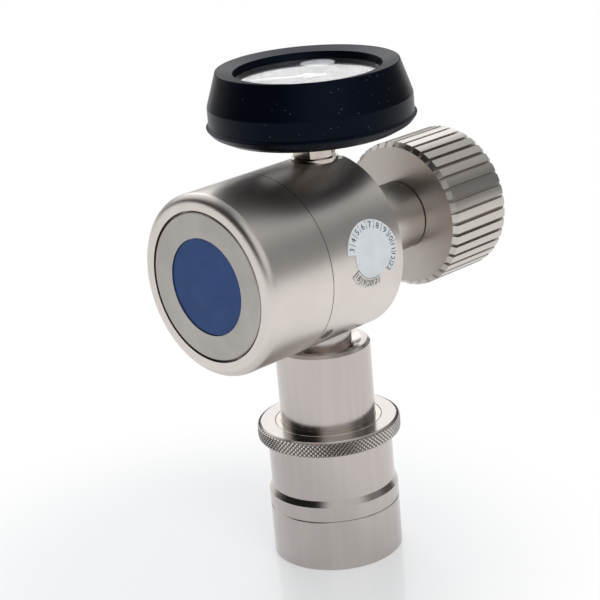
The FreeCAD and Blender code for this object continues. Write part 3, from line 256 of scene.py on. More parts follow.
# %% Nickel of the front cap
RING_SIZE = 0.3
RING_DEPTH = 0.003
turned, tree, shader, place = new_finish("Turned nickel", "#B2AEAA", 1.0, 0.4)
shade(tree, shader, place, 9, ("#ADA9A5", "#B7B3AF"))
centred = vector_maths(tree, "ADD", place, (0, 0, -BARREL_Z * MM))
reach = vector_maths(tree, "LENGTH", vector_maths(tree, "MULTIPLY", centred, (1, 0, 1)))
feeds = {"W": reach, "Scale": 1 / (RING_SIZE * MM), "Detail": 2.0}
rings = add(tree, "TexNoise", feeds, noise_dimensions="1D").outputs["Fac"]
emboss(tree, shader, rings, RING_DEPTH)
dress("brushed_cap", turned)

# %% [markdown]
# ## Milled nickel on the handwheel
#
# The handwheel's grooves were milled along its axis and the flats between them left as they
# came off the cutter, so the grain runs along Y. Stretching the noise along that axis does it.
# The end faces are painted darker as painted shade, so the tone follows how far a face looks
# along Y.

# %% Nickel of the handwheel
END_FACE_SHADE_LEVELS = (0.8, 0.95)
milled, tree, shader, place = new_finish("Milled nickel", "#CAC4BE", 1.0, 0.34)
normal = add(tree, "NewGeometry").outputs["Normal"]
facing = add(tree, "SeparateXYZ", {"Vector": normal}).outputs["Y"]
# Painted shade: the end faces are darker than the lands
end_face_shade = ramp(tree, maths(tree, "ABSOLUTE", facing), *END_FACE_SHADE_LEVELS)
tree.links.new(blend(tree, end_face_shade, "#CAC4BE", "#B4AEA8"), shader.inputs["Base Color"])
grain(tree, shader, place, 0.8, 0.0003, (0.28, 0.31), stretch=(1, 0.08, 1))
dress("handwheel_nickel", milled)

# %% [markdown]
# ## Drawn nickel on the coupler
#
# The coupler's parts were polished along their length before plating. The eye sees soft streaks
# that stand upright, and a warmer, slightly pink tone than on the barrel.

# %% Nickel of the coupler
drawn, tree, shader, place = new_finish("Drawn nickel", "#BFB8B4", 1.0, 0.2)
shade(tree, shader, place, 2.2, ("#BDB6B2", "#C1BAB6"), stretch=(1, 1, 0.06))
grain(tree, shader, place, 0.5, 0.0004, (0.17, 0.22), stretch=(1, 1, 0.05))
dress("coupler_nickel", drawn)

# %% [markdown]
# ## Polished nickel on the small turned parts
#
# The gauge's hexagon and washer, the bush, the inlet nipple and the probe tube were polished.
# They mirror their surroundings, and only faint clouds in the roughness keep them from looking
# like glass.

# %% Polished nickel
polished, tree, shader, place = new_finish("Polished nickel", "#C4BBB2", 1.0, 0.12)
shade(tree, shader, place, 3, ("#BEB5AC", "#CAC1B8"))
grain(tree, shader, place, 0.6, 0.002, (0.09, 0.17))
dress("polished_nickel", polished)

# %% [markdown]
# ## Blue enamel on the gas disc
#
# The disc's colour tells the gas. Stoved enamel is a smooth paint with a slight orange peel:
# waves about 0.8 mm wide and a few thousandths deep, which soften its gloss.

# %% Enamel of the gas disc
enamel, tree, shader, place = new_finish("Blue stoved enamel", "#20467E", 0.0, 0.34)
shader.inputs["Specular IOR Level"].default_value = 0.25
shade(tree, shader, place, 5, ("#1D4279", "#234A84"))
grain(tree, shader, place, 0.8, 0.003, (0.3, 0.38))
dress("blue_enamel", enamel)

# %% [markdown]
# ## Black rubber on the boot
#
# The boot is moulded rubber with a faint, bluish gloss. Rubber draws dust, and the specks on its
# side and shoulder show as pale dots. Cells of a Voronoi pattern each get one dot near their
# middle, and only the cells with a high random number keep it.

# %% Rubber of the boot
SPECK_CELL = 1.1
SPECK_EDGE = (0.05, 0.1)
SPECK_LOT = 0.72
HAZE_SIZE = 9
rubber, tree, shader, place = new_finish("Moulded black rubber", "#06080F", 0.0, 0.34)
feeds = {"Vector": place, "Scale": 1 / (SPECK_CELL * MM), "Randomness": 1.0}
cells = add(tree, "TexVoronoi", feeds).outputs
dot = ramp(tree, cells["Distance"], *SPECK_EDGE, 1.0, 0.0)
lot = add(tree, "SeparateColor", {"Color": cells["Color"]}).outputs["Red"]
speck = maths(tree, "MULTIPLY", dot, maths(tree, "GREATER_THAN", lot, SPECK_LOT))
bloom = blend(tree, clouds(tree, place, HAZE_SIZE, 3.0), "#03050A", "#070B15")
tree.links.new(blend(tree, speck, bloom, "#7F8794"), shader.inputs["Base Color"])
shader.inputs["Specular IOR Level"].default_value = 0.13
shader.inputs["Specular Tint"].default_value = linear("#A9C4F2")
grain(tree, shader, place, 0.5, 0.004, (0.28, 0.36))
dress("boot_rubber", rubber)

# %% [markdown]
# ## Glass over the dial
#
# The window is a plain glass disc with faint smears. Light for the dial comes through it, and a
# lamp's shadow ray can't bend, so the material lets shadow rays pass straight through and is
# glass for the rest.

# %% Glass of the window
SMEAR_SIZE = 6
SMEAR_LEVELS = (0.5, 0.8)
SMEAR_ROUGHNESS = 0.04
glass, tree, shader, place = new_finish("Clear window glass", "#FFFFFF", 0.0, 0.0)
shader.inputs["IOR"].default_value = 1.5
shader.inputs["Transmission Weight"].default_value = 1.0
film = ramp(tree, clouds(tree, place, SMEAR_SIZE), *SMEAR_LEVELS, 0.0, SMEAR_ROUGHNESS)
tree.links.new(film, shader.inputs["Roughness"])
shadow = add(tree, "LightPath").outputs["Is Shadow Ray"]
passing = add(tree, "BsdfTransparent", {"Color": (0.92, 0.94, 0.94, 1)}).outputs["BSDF"]
either = add(tree, "MixShader", {0: shadow, 1: shader.outputs["BSDF"], 2: passing})
tree.links.new(either.outputs["Shader"], tree.nodes["Material Output"].inputs["Surface"])
dress("gauge_glass", glass)

# %% [markdown]
# ## Dial, pointer and sticker
#
# The dial is black printed sheet, the pointer white paint and the sticker a coated paper. Each
# is matt, with a fine tooth that keeps its light even from all sides.

# %% Dial black
dial_black, tree, shader, place = new_finish("Matt black dial print", "#10131A", 0.0, 0.6)
shade(tree, shader, place, 6, ("#0E1117", "#14181F"))
grain(tree, shader, place, 0.4, 0.003)
dress("dial_face", dial_black)

# %% Pointer white
pointer_white, tree, shader, place = new_finish("White pointer paint", "#E9E7E1", 0.0, 0.5)
shade(tree, shader, place, 2, ("#E4E2DB", "#EDEBE6"))
grain(tree, shader, place, 0.3, 0.003)
dress("pointer_paint", pointer_white)

# %% Sticker paper
paper, tree, shader, place = new_finish("Coated label paper", "#DDE2E6", 0.0, 0.45)
shade(tree, shader, place, 4, ("#D8DEE2", "#E2E6E9"))
grain(tree, shader, place, 0.3, 0.004, (0.4, 0.5))
dress("sticker_paper", paper)

# %% [markdown]
# ## The inside: brass, steel, bronze, rubber and plastic
#
# These parts show only when the regulator is opened, or a little through the coupler's mouth.
# Their finishes are those of the trade: cut brass, drawn spring wire, sintered bronze, moulded
# rubber and turned white plastic.

# %% Brass of the movement and of the valves
movement_brass, tree, shader, place = new_finish("Stamped brass", "#C9A55B", 1.0, 0.28)
shade(tree, shader, place, 3, ("#C29D53", "#D0AD65"))
grain(tree, shader, place, 0.3, 0.003, (0.24, 0.34), stretch=(1, 0.1, 1))
dress("movement_brass", movement_brass)

valve_brass, tree, shader, place = new_finish("Turned brass", "#C8AA6A", 1.0, 0.22)
shade(tree, shader, place, 4, ("#C1A262", "#CFB275"))
grain(tree, shader, place, 0.25, 0.003, (0.18, 0.28))
dress("valve_brass", valve_brass)

# %% Steel of the case, the springs, the screws and the balls
case_steel, tree, shader, place = new_finish("Pressed stainless steel", "#A9AAAB", 1.0, 0.3)
shade(tree, shader, place, 6, ("#A3A4A6", "#AFB0B1"))
grain(tree, shader, place, 0.4, 0.003, (0.26, 0.35))
dress("case_steel", case_steel)

spring_steel, tree, shader, place = new_finish("Drawn spring steel", "#9FA1A4", 1.0, 0.25)
shade(tree, shader, place, 1.5, ("#96989C", "#A8AAAD"))
grain(tree, shader, place, 0.2, 0.002, (0.2, 0.3))
dress("spring_steel", spring_steel)

# %% Sintered bronze of the filter
BEAD_SIZE = 0.3
BEAD_DEPTH = 0.08
bronze, tree, shader, place = new_finish("Sintered bronze", "#A97F52", 1.0, 0.5)
feeds = {"Vector": place, "Scale": 1 / (BEAD_SIZE * MM)}
beads = add(tree, "TexVoronoi", feeds).outputs["Distance"]
# The gaps between the beads are painted dark as painted shade
tree.links.new(blend(tree, beads, "#B58A5C", "#5F4328"), shader.inputs["Base Color"])
emboss(tree, shader, beads, BEAD_DEPTH, invert=True)
dress("filter_bronze", bronze)

# %% Rubber and plastic of the seals
seal_rubber, tree, shader, place = new_finish("Moulded seal rubber", "#17181A", 0.0, 0.5)
shade(tree, shader, place, 2, ("#141517", "#1C1D20"))
grain(tree, shader, place, 0.3, 0.004, (0.45, 0.55))
dress("seal_rubber", seal_rubber)

seal_plastic, tree, shader, place = new_finish("Turned white plastic", "#E6E4DC", 0.0, 0.4)
shade(tree, shader, place, 3, ("#E0DED6", "#EBE9E2"))
grain(tree, shader, place, 0.3, 0.003, (0.35, 0.45))
dress("seal_plastic", seal_plastic)

# %% [markdown]
# ## Meshes from arrays
#
# New pieces are worked out as whole arrays. A grid function joins rows and columns of points
# with quads, a second one gathers several flat shapes in one mesh, and a third turns points and
# faces into an object that rides on a body and takes its finish from a slot.


# %% Grids, gathering and new pieces
def grid_faces(rows, columns, close_columns=False, close_rows=False):
    """Quads between neighbouring points of a grid. A closed side joins its last to its first."""
    down = np.arange(rows if close_rows else rows - 1)
    across = np.arange(columns if close_columns else columns - 1)
    i, j = np.meshgrid(down, across, indexing="ij")
    below = (i + 1) % rows
    beside = (j + 1) % columns
    quads = (i * columns + j, i * columns + beside, below * columns + beside, below * columns + j)
    return np.stack(quads, axis=-1).reshape(-1, 4)


def gather(shapes):
    """One list of points and one of faces from several shapes, with the faces counted on."""
    starts = np.cumsum([0] + [len(points) for points, _ in shapes])
    points = np.vstack([points for points, _ in shapes])
    faces = [[int(start + corner) for corner in face]
             for start, (_, shape_faces) in zip(starts, shapes) for face in shape_faces]
    return points, faces


def new_piece(name, points, faces, material, body, smooth=False):
    """An object at the origin whose points are in mm, riding on a body."""
    mesh = bpy.data.meshes.new(name)
    corners = faces.tolist() if isinstance(faces, np.ndarray) else faces
    mesh.from_pydata((np.reshape(points, (-1, 3)) * MM).tolist(), [], corners)
    mesh.validate()
    if smooth:
        mesh.shade_smooth()
    mesh.materials.append(material)
    piece = bpy.data.objects.new(name, mesh)
    bpy.context.scene.collection.objects.link(piece)
    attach(piece, body)
    print(name, "has", len(mesh.polygons), "faces")
    return piece


print("a grid of 3 by 4 points has", len(grid_faces(3, 4)), "quads")

# %% [markdown]
# Most of the regulator was turned on a lathe, so new pieces are given by how far out they lie
# and how far round. The gauge and the coupler stand upright, and the barrel and the wheel lie
# along Y.


# %% Turn points round an axis
def around_z(reaches, turns, heights, y=0.0):
    """Points reach * (cos turn, sin turn) from an upright axis at a place on Y, at heights."""
    across = reaches * np.cos(turns)
    along = y + reaches * np.sin(turns)
    return np.stack(np.broadcast_arrays(across, along, heights), axis=-1)


def around_barrel(reaches, turns, places):
    """Points reach * (cos turn, sin turn) from the barrel's axis, at their places along it."""
    across = reaches * np.cos(turns)
    up = BARREL_Z + reaches * np.sin(turns)
    return np.stack(np.broadcast_arrays(across, places, up), axis=-1)


def full_circle(steps):
    """Angles in equal steps once round, without the last one, which is the first again."""
    return np.arange(steps) * 2 * math.pi / steps


def crisp(piece, angle):
    """Edges sharper than the angle stay sharp, and wide faces keep their own direction."""
    piece.data.set_sharp_from_angle(angle=math.radians(angle))
    weighted = piece.modifiers.new("Even shading", "WEIGHTED_NORMAL")
    weighted.keep_sharp = True


print("the barrel's top is at", around_barrel(BARREL_RADIUS, math.pi / 2, 0).round(2)[2], "mm")

# %% [markdown]
# ## Knurl on the grip ring
#
# The release sleeve is drawn back with two fingers, and its ring is knurled: two wheels pressed
# crossing grooves into it, which leave small pyramids. A pyramid field is the lower one of two
# saw waves, one for each way the grooves run. As a bump map it would vanish at the outline, so
# it is real relief: a grid round the ring, eight columns to a pyramid. Its first and last row
# sink into the ring, so that the band has no open edge.

# %% Press the knurl
KNURL_COUNT = 98
KNURL_DEPTH = 0.45
KNURL_STEPS = 8
KNURL_SINK = 0.1
KNURL_OVERLAP = 0.3
GRIP_BEVEL = 0.5
GRIP_RING_HEIGHT = 4.6


def saw(turns):
    """0 at every whole turn and 1 half-way between: 1 - |2 * fraction - 1|."""
    return 1 - np.abs(2 * (turns - np.floor(turns)) - 1)


sleeve_low, sleeve_high = box_mm("release_sleeve")
grip_radius = (sleeve_high[0] - sleeve_low[0]) / 2
knurl_pitch = 2 * math.pi * grip_radius / KNURL_COUNT
knurl_height = GRIP_RING_HEIGHT - 2 * GRIP_BEVEL + KNURL_OVERLAP
knurl_rows = round(knurl_height / knurl_pitch * KNURL_STEPS) + 1
angles = full_circle(KNURL_COUNT * KNURL_STEPS)
rises = np.arange(knurl_rows) * knurl_pitch / KNURL_STEPS
angle, rise = np.meshgrid(angles, rises)
along = angle * KNURL_COUNT / (2 * math.pi)
upward = rise / knurl_pitch
relief = np.minimum(saw(along + upward), saw(along - upward)) * KNURL_DEPTH
relief[[0, -1]] = -KNURL_SINK
band_foot = sleeve_high[2] - GRIP_RING_HEIGHT / 2 - rises[-1] / 2
knurl_points = around_z(grip_radius + relief, angle, band_foot + rise)
print("knurl of", KNURL_COUNT, "pyramids with a pitch of", round(knurl_pitch, 2), "mm")

# %% [markdown]
# The pits are painted dark as painted shade and the crests pale as a painted highlight, so the tone
# follows the height, which each point carries as an attribute.

# %% Plate the knurl
KNURL_SHADE_LEVELS = (0.05, 0.6)
knurled, tree, shader, place = new_finish("Knurled nickel", "#CFC8C4", 1.0, 0.24)
knurl_rise = add(tree, "Attribute", attribute_name="knurl_rise").outputs["Fac"]
# Painted shade in the pits and a painted highlight on the crests, by height
pit_shade_crest_highlight = ramp(tree, knurl_rise, *KNURL_SHADE_LEVELS)
tree.links.new(blend(tree, pit_shade_crest_highlight, "#77716D", "#EAE3DE"), shader.inputs["Base Color"])
knurl = new_piece("knurl_band", knurl_points, grid_faces(knurl_rows, len(angles), True), knurled,
                  "sleeve")
levels = knurl.data.attributes.new("knurl_rise", "FLOAT", "POINT")
levels.data.foreach_set("value", (relief / KNURL_DEPTH).ravel().astype(np.float32))

# %% [markdown]
# ## The boot's moulded skin
#
# The rubber boot is a body of revolution. Its fine edges give it its look: a thin lip near its
# foot, a convex underside, and a rim whose crest is the outer edge, from which the top slopes
# down to the dial. The outline is a list of corners, each with the radius of its rounding, and
# a turned surface is the outline taken round the gauge's axis.


# %% Round an outline
def rounded(corners, steps=5):
    """Each corner (across, up, radius) becomes an arc of a few points.

    The arc starts and ends radius / tan(half the corner's angle) away from the corner.
    """
    corners = np.array(corners, float)
    outline = []
    for before, corner, after in zip(np.roll(corners, 1, 0), corners, np.roll(corners, -1, 0)):
        here = corner[:2]
        radius = corner[2]
        back = (before[:2] - here) / np.linalg.norm(before[:2] - here)
        ahead = (after[:2] - here) / np.linalg.norm(after[:2] - here)
        half = math.acos(np.clip(back @ ahead, -1, 1)) / 2
        middle = (back + ahead) / np.linalg.norm(back + ahead)
        centre = here + middle * radius / math.sin(half)
        start = here + back * radius / math.tan(half) - centre
        end = here + ahead * radius / math.tan(half) - centre
        for share in np.linspace(0, 1, steps):
            spoke = start * (1 - share) + end * share
            outline.append(centre + spoke / np.linalg.norm(spoke) * radius)
    return np.array(outline)


square = rounded([(0, 0, 1), (4, 0, 1), (4, 4, 1), (0, 4, 1)])
print("a square with rounded corners has", len(square), "points")

# %% Mould the boot
BOOT_COLUMNS = 160
BOOT_BORE = 15.0
CASE_RADIUS = 21.4
WINDOW_GAP = 0.1
TIGHT = 0.05
BOOT_FOOT, BOOT_TOP = (corner[2] for corner in box_mm("gauge_boot"))
WINDOW_FOOT, WINDOW_TOP = (corner[2] for corner in box_mm("gauge_window"))
CASE_FOOT = box_mm("gauge_case")[0][2]
boot_corners = {
    # Corner: radius, height, rounding
    "bore at the foot": (BOOT_BORE, BOOT_FOOT, 0.1),
    "edge of the flat foot": (24.4, BOOT_FOOT, 0.8),
    "convex underside": (27.3, BOOT_FOOT + 1.5, 2.0),
    "under the lip": (28.45, BOOT_FOOT + 2.9, 0.2),
    "lip": (28.62, BOOT_FOOT + 3.35, 0.15),
    "over the lip": (27.95, BOOT_FOOT + 3.8, 0.2),
    "top of the band": (27.9, BOOT_FOOT + 8.8, 0.6),
    "crest of the rim": (24.85, BOOT_TOP, 0.45),
    "mouth": (20.2, BOOT_TOP - 1.0, 0.3),
    "edge on the window": (19.7, WINDOW_TOP + WINDOW_GAP, TIGHT),
    "rim of the case": (CASE_RADIUS, WINDOW_TOP + WINDOW_GAP, TIGHT),
    "foot of the case": (CASE_RADIUS, CASE_FOOT, TIGHT),
    "bore in the case": (BOOT_BORE, CASE_FOOT, TIGHT),
}
boot_outline = rounded(list(boot_corners.values()))
boot_points = around_z(boot_outline[:, :1], full_circle(BOOT_COLUMNS), boot_outline[:, 1:], GAUGE_Y)
boot_faces = grid_faces(len(boot_outline), BOOT_COLUMNS, True, True)
boot = new_piece("boot_skin", boot_points, boot_faces, rubber, "frame", smooth=True)
crisp(boot, angle=30)
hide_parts("gauge_boot")

# %% [markdown]
# ## The handwheel's grip
#
# Narrow flutes run along the wheel between wide flat lands, and a small bevel breaks both ends.
# The outline is taken round the wheel's axis, which is the barrel's, and wherever a flute runs,
# the radius is the lower one of the outline and the flute's floor.

# %% Draw the wheel's outline
WHEEL_START, WHEEL_END = (corner[1] for corner in box_mm("handwheel"))
WHEEL_RADIUS = 21.2
BEVEL_WIDTH = 1.3
BEVEL_LENGTH = 1.1
STEM_BORE = 5.56
RECESS_RADIUS = 17.4
RECESS_DEPTH = 0.8
THREAD_RADIUS = 7.48
THREAD_CHAMFER = 0.9
CAVITY_RADIUS = 8.6
CAVITY_START = 5.8
CAVITY_END = 10.4
wheel_corners = {
    # Corner: radius, place along the axis
    "bore on the stem": (STEM_BORE, WHEEL_START),
    "front bevel": (WHEEL_RADIUS - BEVEL_WIDTH, WHEEL_START),
    "front of the lands": (WHEEL_RADIUS, WHEEL_START + BEVEL_LENGTH),
    "back of the lands": (WHEEL_RADIUS, WHEEL_END - BEVEL_LENGTH),
    "back bevel": (WHEEL_RADIUS - BEVEL_WIDTH, WHEEL_END),
    "rim of the recess": (RECESS_RADIUS, WHEEL_END),
    "floor of the recess": (RECESS_RADIUS, WHEEL_END - RECESS_DEPTH),
    "mouth of the thread": (THREAD_RADIUS + THREAD_CHAMFER, WHEEL_END - RECESS_DEPTH),
    "start of the thread": (THREAD_RADIUS, WHEEL_END - RECESS_DEPTH - THREAD_CHAMFER),
    "end of the thread": (THREAD_RADIUS, WHEEL_START + CAVITY_END),
    "back of the cavity": (CAVITY_RADIUS, WHEEL_START + CAVITY_END),
    "front of the cavity": (CAVITY_RADIUS, WHEEL_START + CAVITY_START),
    "shoulder on the stem": (STEM_BORE, WHEEL_START + CAVITY_START),
}
wheel_outline = np.array(list(wheel_corners.values()))
print("wheel is", round(WHEEL_END - WHEEL_START, 1), "mm long")

# %% Flute the handwheel
FLUTES = 39
FLUTE_DEPTH = 1.35
FLUTE_HALF = 0.52
FLUTE_FLOOR_HALF = 0.3
LAND_STEPS = 5
flute_edges = np.array([FLUTE_FLOOR_HALF, FLUTE_HALF]) / WHEEL_RADIUS
flute_pitch = 2 * math.pi / FLUTES
land = np.linspace(flute_edges[1], flute_pitch - flute_edges[1], LAND_STEPS)[1:-1]
stops = np.concatenate((-flute_edges[::-1], flute_edges, land))
filled = np.concatenate(((1, 0, 0, 1), np.ones(len(land))))
turns = (np.arange(FLUTES)[:, None] * flute_pitch + stops).ravel()
floors = WHEEL_RADIUS - FLUTE_DEPTH * (1 - np.tile(filled, FLUTES))
reaches = np.minimum(wheel_outline[:, :1], floors)
wheel_points = around_barrel(reaches, turns, wheel_outline[:, 1:])
wheel_faces = grid_faces(len(wheel_outline), len(turns), True, True)[:, ::-1]
wheel = new_piece("fluted_wheel", wheel_points, wheel_faces, milled, "handwheel",
                  smooth=True)
crisp(wheel, angle=20)
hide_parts("handwheel")

# %% [markdown]
# ## The seam of the barrel
#
# The bonnet is screwed to the body, and a thin dark band is drawn along the joint between them,
# a fine line round the barrel. The bonnet's outermost skin ends where the joint begins.

# %% Fill the seam
SEAM_HALF = 0.11
SEAM_GAP = 0.15
SEAM_LIFT = 0.012
SEAM_COLUMNS = 180
SKIN_DEPTH = 0.05
skin = np.array([v.co[:] for v in nodes["bonnet"].data.vertices]) / MM
outermost = np.hypot(skin[:, 0], skin[:, 2] - BARREL_Z) > BARREL_RADIUS - SKIN_DEPTH
seam_y = skin[outermost, 1].max() + SEAM_GAP / 2
seam_edges = np.array([[seam_y - SEAM_HALF], [seam_y + SEAM_HALF]])
seam_points = around_barrel(BARREL_RADIUS + SEAM_LIFT, full_circle(SEAM_COLUMNS), seam_edges)
# A dark band drawn along the joint between bonnet and body
seam_band, tree, shader, place = new_finish("Dark seam band", "#2B2A2A", 0.0, 0.6)
shade(tree, shader, place, 2, ("#262525", "#323130"))
new_piece("seam_line", seam_points, grid_faces(2, SEAM_COLUMNS, True)[:, ::-1], seam_band, "frame",
          smooth=True)

# %% [markdown]
# ## Numbers as flat shapes
#
# Blender's text tool sets the type and fills the outlines. The result is read back as plain
# points and faces, so that it can be laid on the dial or bent round the barrel like any other
# shape, and holds no live text.

# %% Set a number
DIGIT_SHARE = 0.7


def number(text, height):
    """Points and faces of a line of type in mm, centred on zero in its own plane.

    A digit of the built-in type is 0.7 of the type's size high.
    """
    curve = bpy.data.curves.new("type", "FONT")
    curve.body = text
    curve.align_x = "CENTER"
    curve.align_y = "CENTER"
    curve.size = height / DIGIT_SHARE
    curve.resolution_u = 3
    setter = bpy.data.objects.new("type", curve)
    mesh = bpy.data.meshes.new_from_object(setter)
    points = np.zeros(len(mesh.vertices) * 3)
    mesh.vertices.foreach_get("co", points)
    faces = [tuple(face.vertices) for face in mesh.polygons]
    bpy.data.objects.remove(setter)
    bpy.data.curves.remove(curve)
    points = points.reshape(-1, 3)[:, :2]
    return points - (points.min(0) + points.max(0)) / 2, faces


print("a two is made of", len(number("2", 1.6)[1]), "faces")


# %% Lay shapes round a middle
def laid(shape, reach, angle, turn):
    """A flat shape turned by turn and moved out by reach at an angle, all in one plane."""
    points, faces = shape
    c, s = math.cos(turn), math.sin(turn)
    spun = points @ np.array([[c, s], [-s, c]])
    return spun + (reach * math.cos(angle), reach * math.sin(angle)), faces


def bars(angles, inner, outer, widths):
    """Radial strokes: each runs from its inner to its outer radius and is as wide as asked."""
    angles, inner, outer, widths = np.broadcast_arrays(angles, inner, outer, widths)
    out = np.stack((np.cos(angles), np.sin(angles)), axis=-1)
    side = np.stack((-np.sin(angles), np.cos(angles)), axis=-1) * widths[:, None] / 2
    corners = (out * inner[:, None] - side, out * outer[:, None] - side,
               out * outer[:, None] + side, out * inner[:, None] + side)
    return np.stack(corners, axis=1).reshape(-1, 2), np.arange(len(angles) * 4).reshape(-1, 4)


def arc(start, end, inner, outer, steps):
    """A curved stroke between two radii, as a row of quads."""
    turns = np.linspace(start, end, steps)
    rims = np.array([inner, outer])[:, None]
    points = np.stack((rims * np.cos(turns), rims * np.sin(turns)), axis=-1).reshape(-1, 2)
    return points, grid_faces(2, steps)[:, ::-1]


print("a curved stroke of 24 steps has", len(arc(0, 1, 6, 7, 24)[1]), "quads")

# %% [markdown]
# ## Print on the dial
#
# The contents gauge has a plain scale of three quarters of a turn that starts where the pointer
# rests. Strokes and numbers are flat shapes a hair above the dial. Every fifth stroke is longer
# and every tenth longer still, thick and numbered.

# %% Print the scale
SCALE_SWEEP = math.radians(270)
SCALE_STEPS = 50
SCALE_OUTER = 18.4
STROKE_INNER = 17.3
FIFTH_INNER = 16.8
TENTH_INNER = 16.2
STROKE_WIDTH = 0.22
TENTH_WIDTH = 0.45
LABELS = [str(pressure) for pressure in range(0, 101, 20)]
LABEL_HEIGHT = 2.0
LABEL_REACH = 14.1
INK_LIFT = 0.03


def on_gauge(points, height):
    """Flat points laid level round the gauge's axis at a height."""
    return np.column_stack((points[:, 0], points[:, 1] + GAUGE_Y, np.full(len(points), height)))


steps = np.arange(SCALE_STEPS + 1)
stroke_angles = POINTER_REST - SCALE_SWEEP * steps / SCALE_STEPS
tenth = steps % 10 == 0
stroke_feet = np.where(tenth, TENTH_INNER, np.where(steps % 5 == 0, FIFTH_INNER, STROKE_INNER))
strokes = bars(stroke_angles, stroke_feet, SCALE_OUTER, np.where(tenth, TENTH_WIDTH, STROKE_WIDTH))
upright = POINTER_REST + (2 * math.pi - SCALE_SWEEP) / 2 + math.pi / 2
labels = [laid(number(label, LABEL_HEIGHT), LABEL_REACH, angle, upright)
          for label, angle in zip(LABELS, stroke_angles[tenth])]
dial_ink, ink_faces = gather([strokes] + labels)
white_ink, tree, shader, place = new_finish("White dial ink", "#C9CED4", 0.0, 0.55)
shade(tree, shader, place, 1.5, ("#C2C7CE", "#D0D5DA"))
new_piece("dial_scale", on_gauge(dial_ink, DIAL_TOP + INK_LIFT), ink_faces, white_ink, "frame")

# %% [markdown]
# A pale oval badge without any mark is printed on the back of the glass, over the dial's far
# part, where the photograph shows it through the window.

# %% Print the badge
BADGE_REACH = 14.2
BADGE_TURN = math.radians(124)
BADGE_HALF = (4.8, 4.4)
BADGE_STEPS = 64
badge_turns = full_circle(BADGE_STEPS)
oval = np.stack((np.cos(badge_turns), np.sin(badge_turns)), axis=-1) * BADGE_HALF
oval, _ = laid((oval, None), BADGE_REACH, BADGE_TURN, BADGE_TURN - math.pi / 2)
badge_grey, tree, shader, place = new_finish("Pale grey badge print", "#EEF2F7", 0.0, 0.5)
shade(tree, shader, place, 2, ("#E9EDF3", "#F3F6FA"))
new_piece("dial_badge", on_gauge(oval, WINDOW_FOOT - INK_LIFT), [tuple(range(BADGE_STEPS))],
          badge_grey, "frame")

# %% [markdown]
# ## Test sticker
#
# The round sticker shows when the next test is due. Its white rim is a ring of numbered cells, and
# a stretch of it is cut away, where more numbers stand on silver film. The paper is a fan of
# points round its middle, whose rim steps inwards at the cut, and the whole is wrapped round the
# barrel.

# %% Wrap shapes round the barrel
STICKER_ANGLE = math.radians(6.4)
sticker_low, sticker_high = box_mm("test_sticker")
STICKER_Y = (sticker_low[1] + sticker_high[1]) / 2
STICKER_RADIUS = (sticker_high[1] - sticker_low[1]) / 2


def on_barrel(points, lift):
    """Flat points wrapped round the barrel: x runs along it, and y becomes the angle y / radius."""
    turns = STICKER_ANGLE + points[:, 1] / BARREL_RADIUS
    return around_barrel(BARREL_RADIUS + lift, turns, STICKER_Y + points[:, 0])


print("sticker of radius", round(STICKER_RADIUS, 2), "mm at y", round(STICKER_Y, 2), "mm")

# %% Cut the sticker's paper
PAPER = 0.12
GLUE = 0.01
CELL_INNER = 6.55
CUT = (168, 313)
CUT_STEP = 0.1
RIM_STEP = 3.0
FAN_RINGS = 9
FAN_START = 0.02

cut_edges = [edge + step for edge in CUT for step in (-CUT_STEP, CUT_STEP)]
rim_turns = np.sort(np.concatenate((np.arange(0, 360, RIM_STEP), cut_edges)))
cut_away = (rim_turns > CUT[0]) & (rim_turns < CUT[1])
rim = np.where(cut_away, CELL_INNER, STICKER_RADIUS)
spread = rim * np.linspace(FAN_START, 1, FAN_RINGS)[:, None]
fan = np.stack((spread * np.cos(np.radians(rim_turns)),
                spread * np.sin(np.radians(rim_turns))), axis=-1).reshape(-1, 2)
layers = np.vstack((on_barrel(fan, PAPER), on_barrel(fan, GLUE)))
columns = len(rim_turns)
upper = grid_faces(FAN_RINGS, columns, True)[:, ::-1]
lower = upper[:, ::-1] + len(fan)
edge = (FAN_RINGS - 1) * columns + np.arange(columns)
beside = np.roll(edge, -1)
wall = np.stack((edge, edge + len(fan), beside + len(fan), beside), axis=-1)
hub = list(range(columns))
hubs = [hub, [len(fan) + i for i in reversed(hub)]]
sticker_faces = np.vstack((upper, lower, wall)).tolist() + hubs
sticker = new_piece("sticker_paper", layers, sticker_faces, paper, "frame")
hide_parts("test_sticker")

# %% Lay the strip of years
STRIP_ENDS = (207, 288)
STRIP_GAP = 0.05
STRIP_STEPS = 28
strip_inner = CELL_INNER + STRIP_GAP
strip, strip_faces = arc(*np.radians(STRIP_ENDS), strip_inner, STICKER_RADIUS, STRIP_STEPS)
silver, tree, shader, place = new_finish("Silver label film", "#D9D3CE", 0.0, 0.4)
shade(tree, shader, place, 3, ("#D4CEC9", "#DDD8D3"))
new_piece("sticker_years", on_barrel(strip, PAPER), strip_faces, silver, "frame")

# %% Print the sticker's ring
NUMBER_REACH = 7.85
PRINT_LIFT = 0.02
# The white rim has the months from March on, and a year in the cell after them
MONTHS = [str(month) for month in range(3, 13)] + ["22"]
MONTH_HEIGHT = 1.68
MONTH_FIRST = math.radians(158)
MONTH_TURN = math.radians(19.8)
YEARS = [str(year) for year in range(18, 22)]
YEAR_HEIGHT = 1.6
YEAR_FIRST = math.radians(218)
YEAR_TURN = math.radians(20)
DIVIDER_INNER = 6.75
DIVIDER_OUTER = 9.1
DIVIDER_WIDTH = 0.14
RULE_INNER = 6.5
RULE_OUTER = 6.62
RULE_STEPS = 24

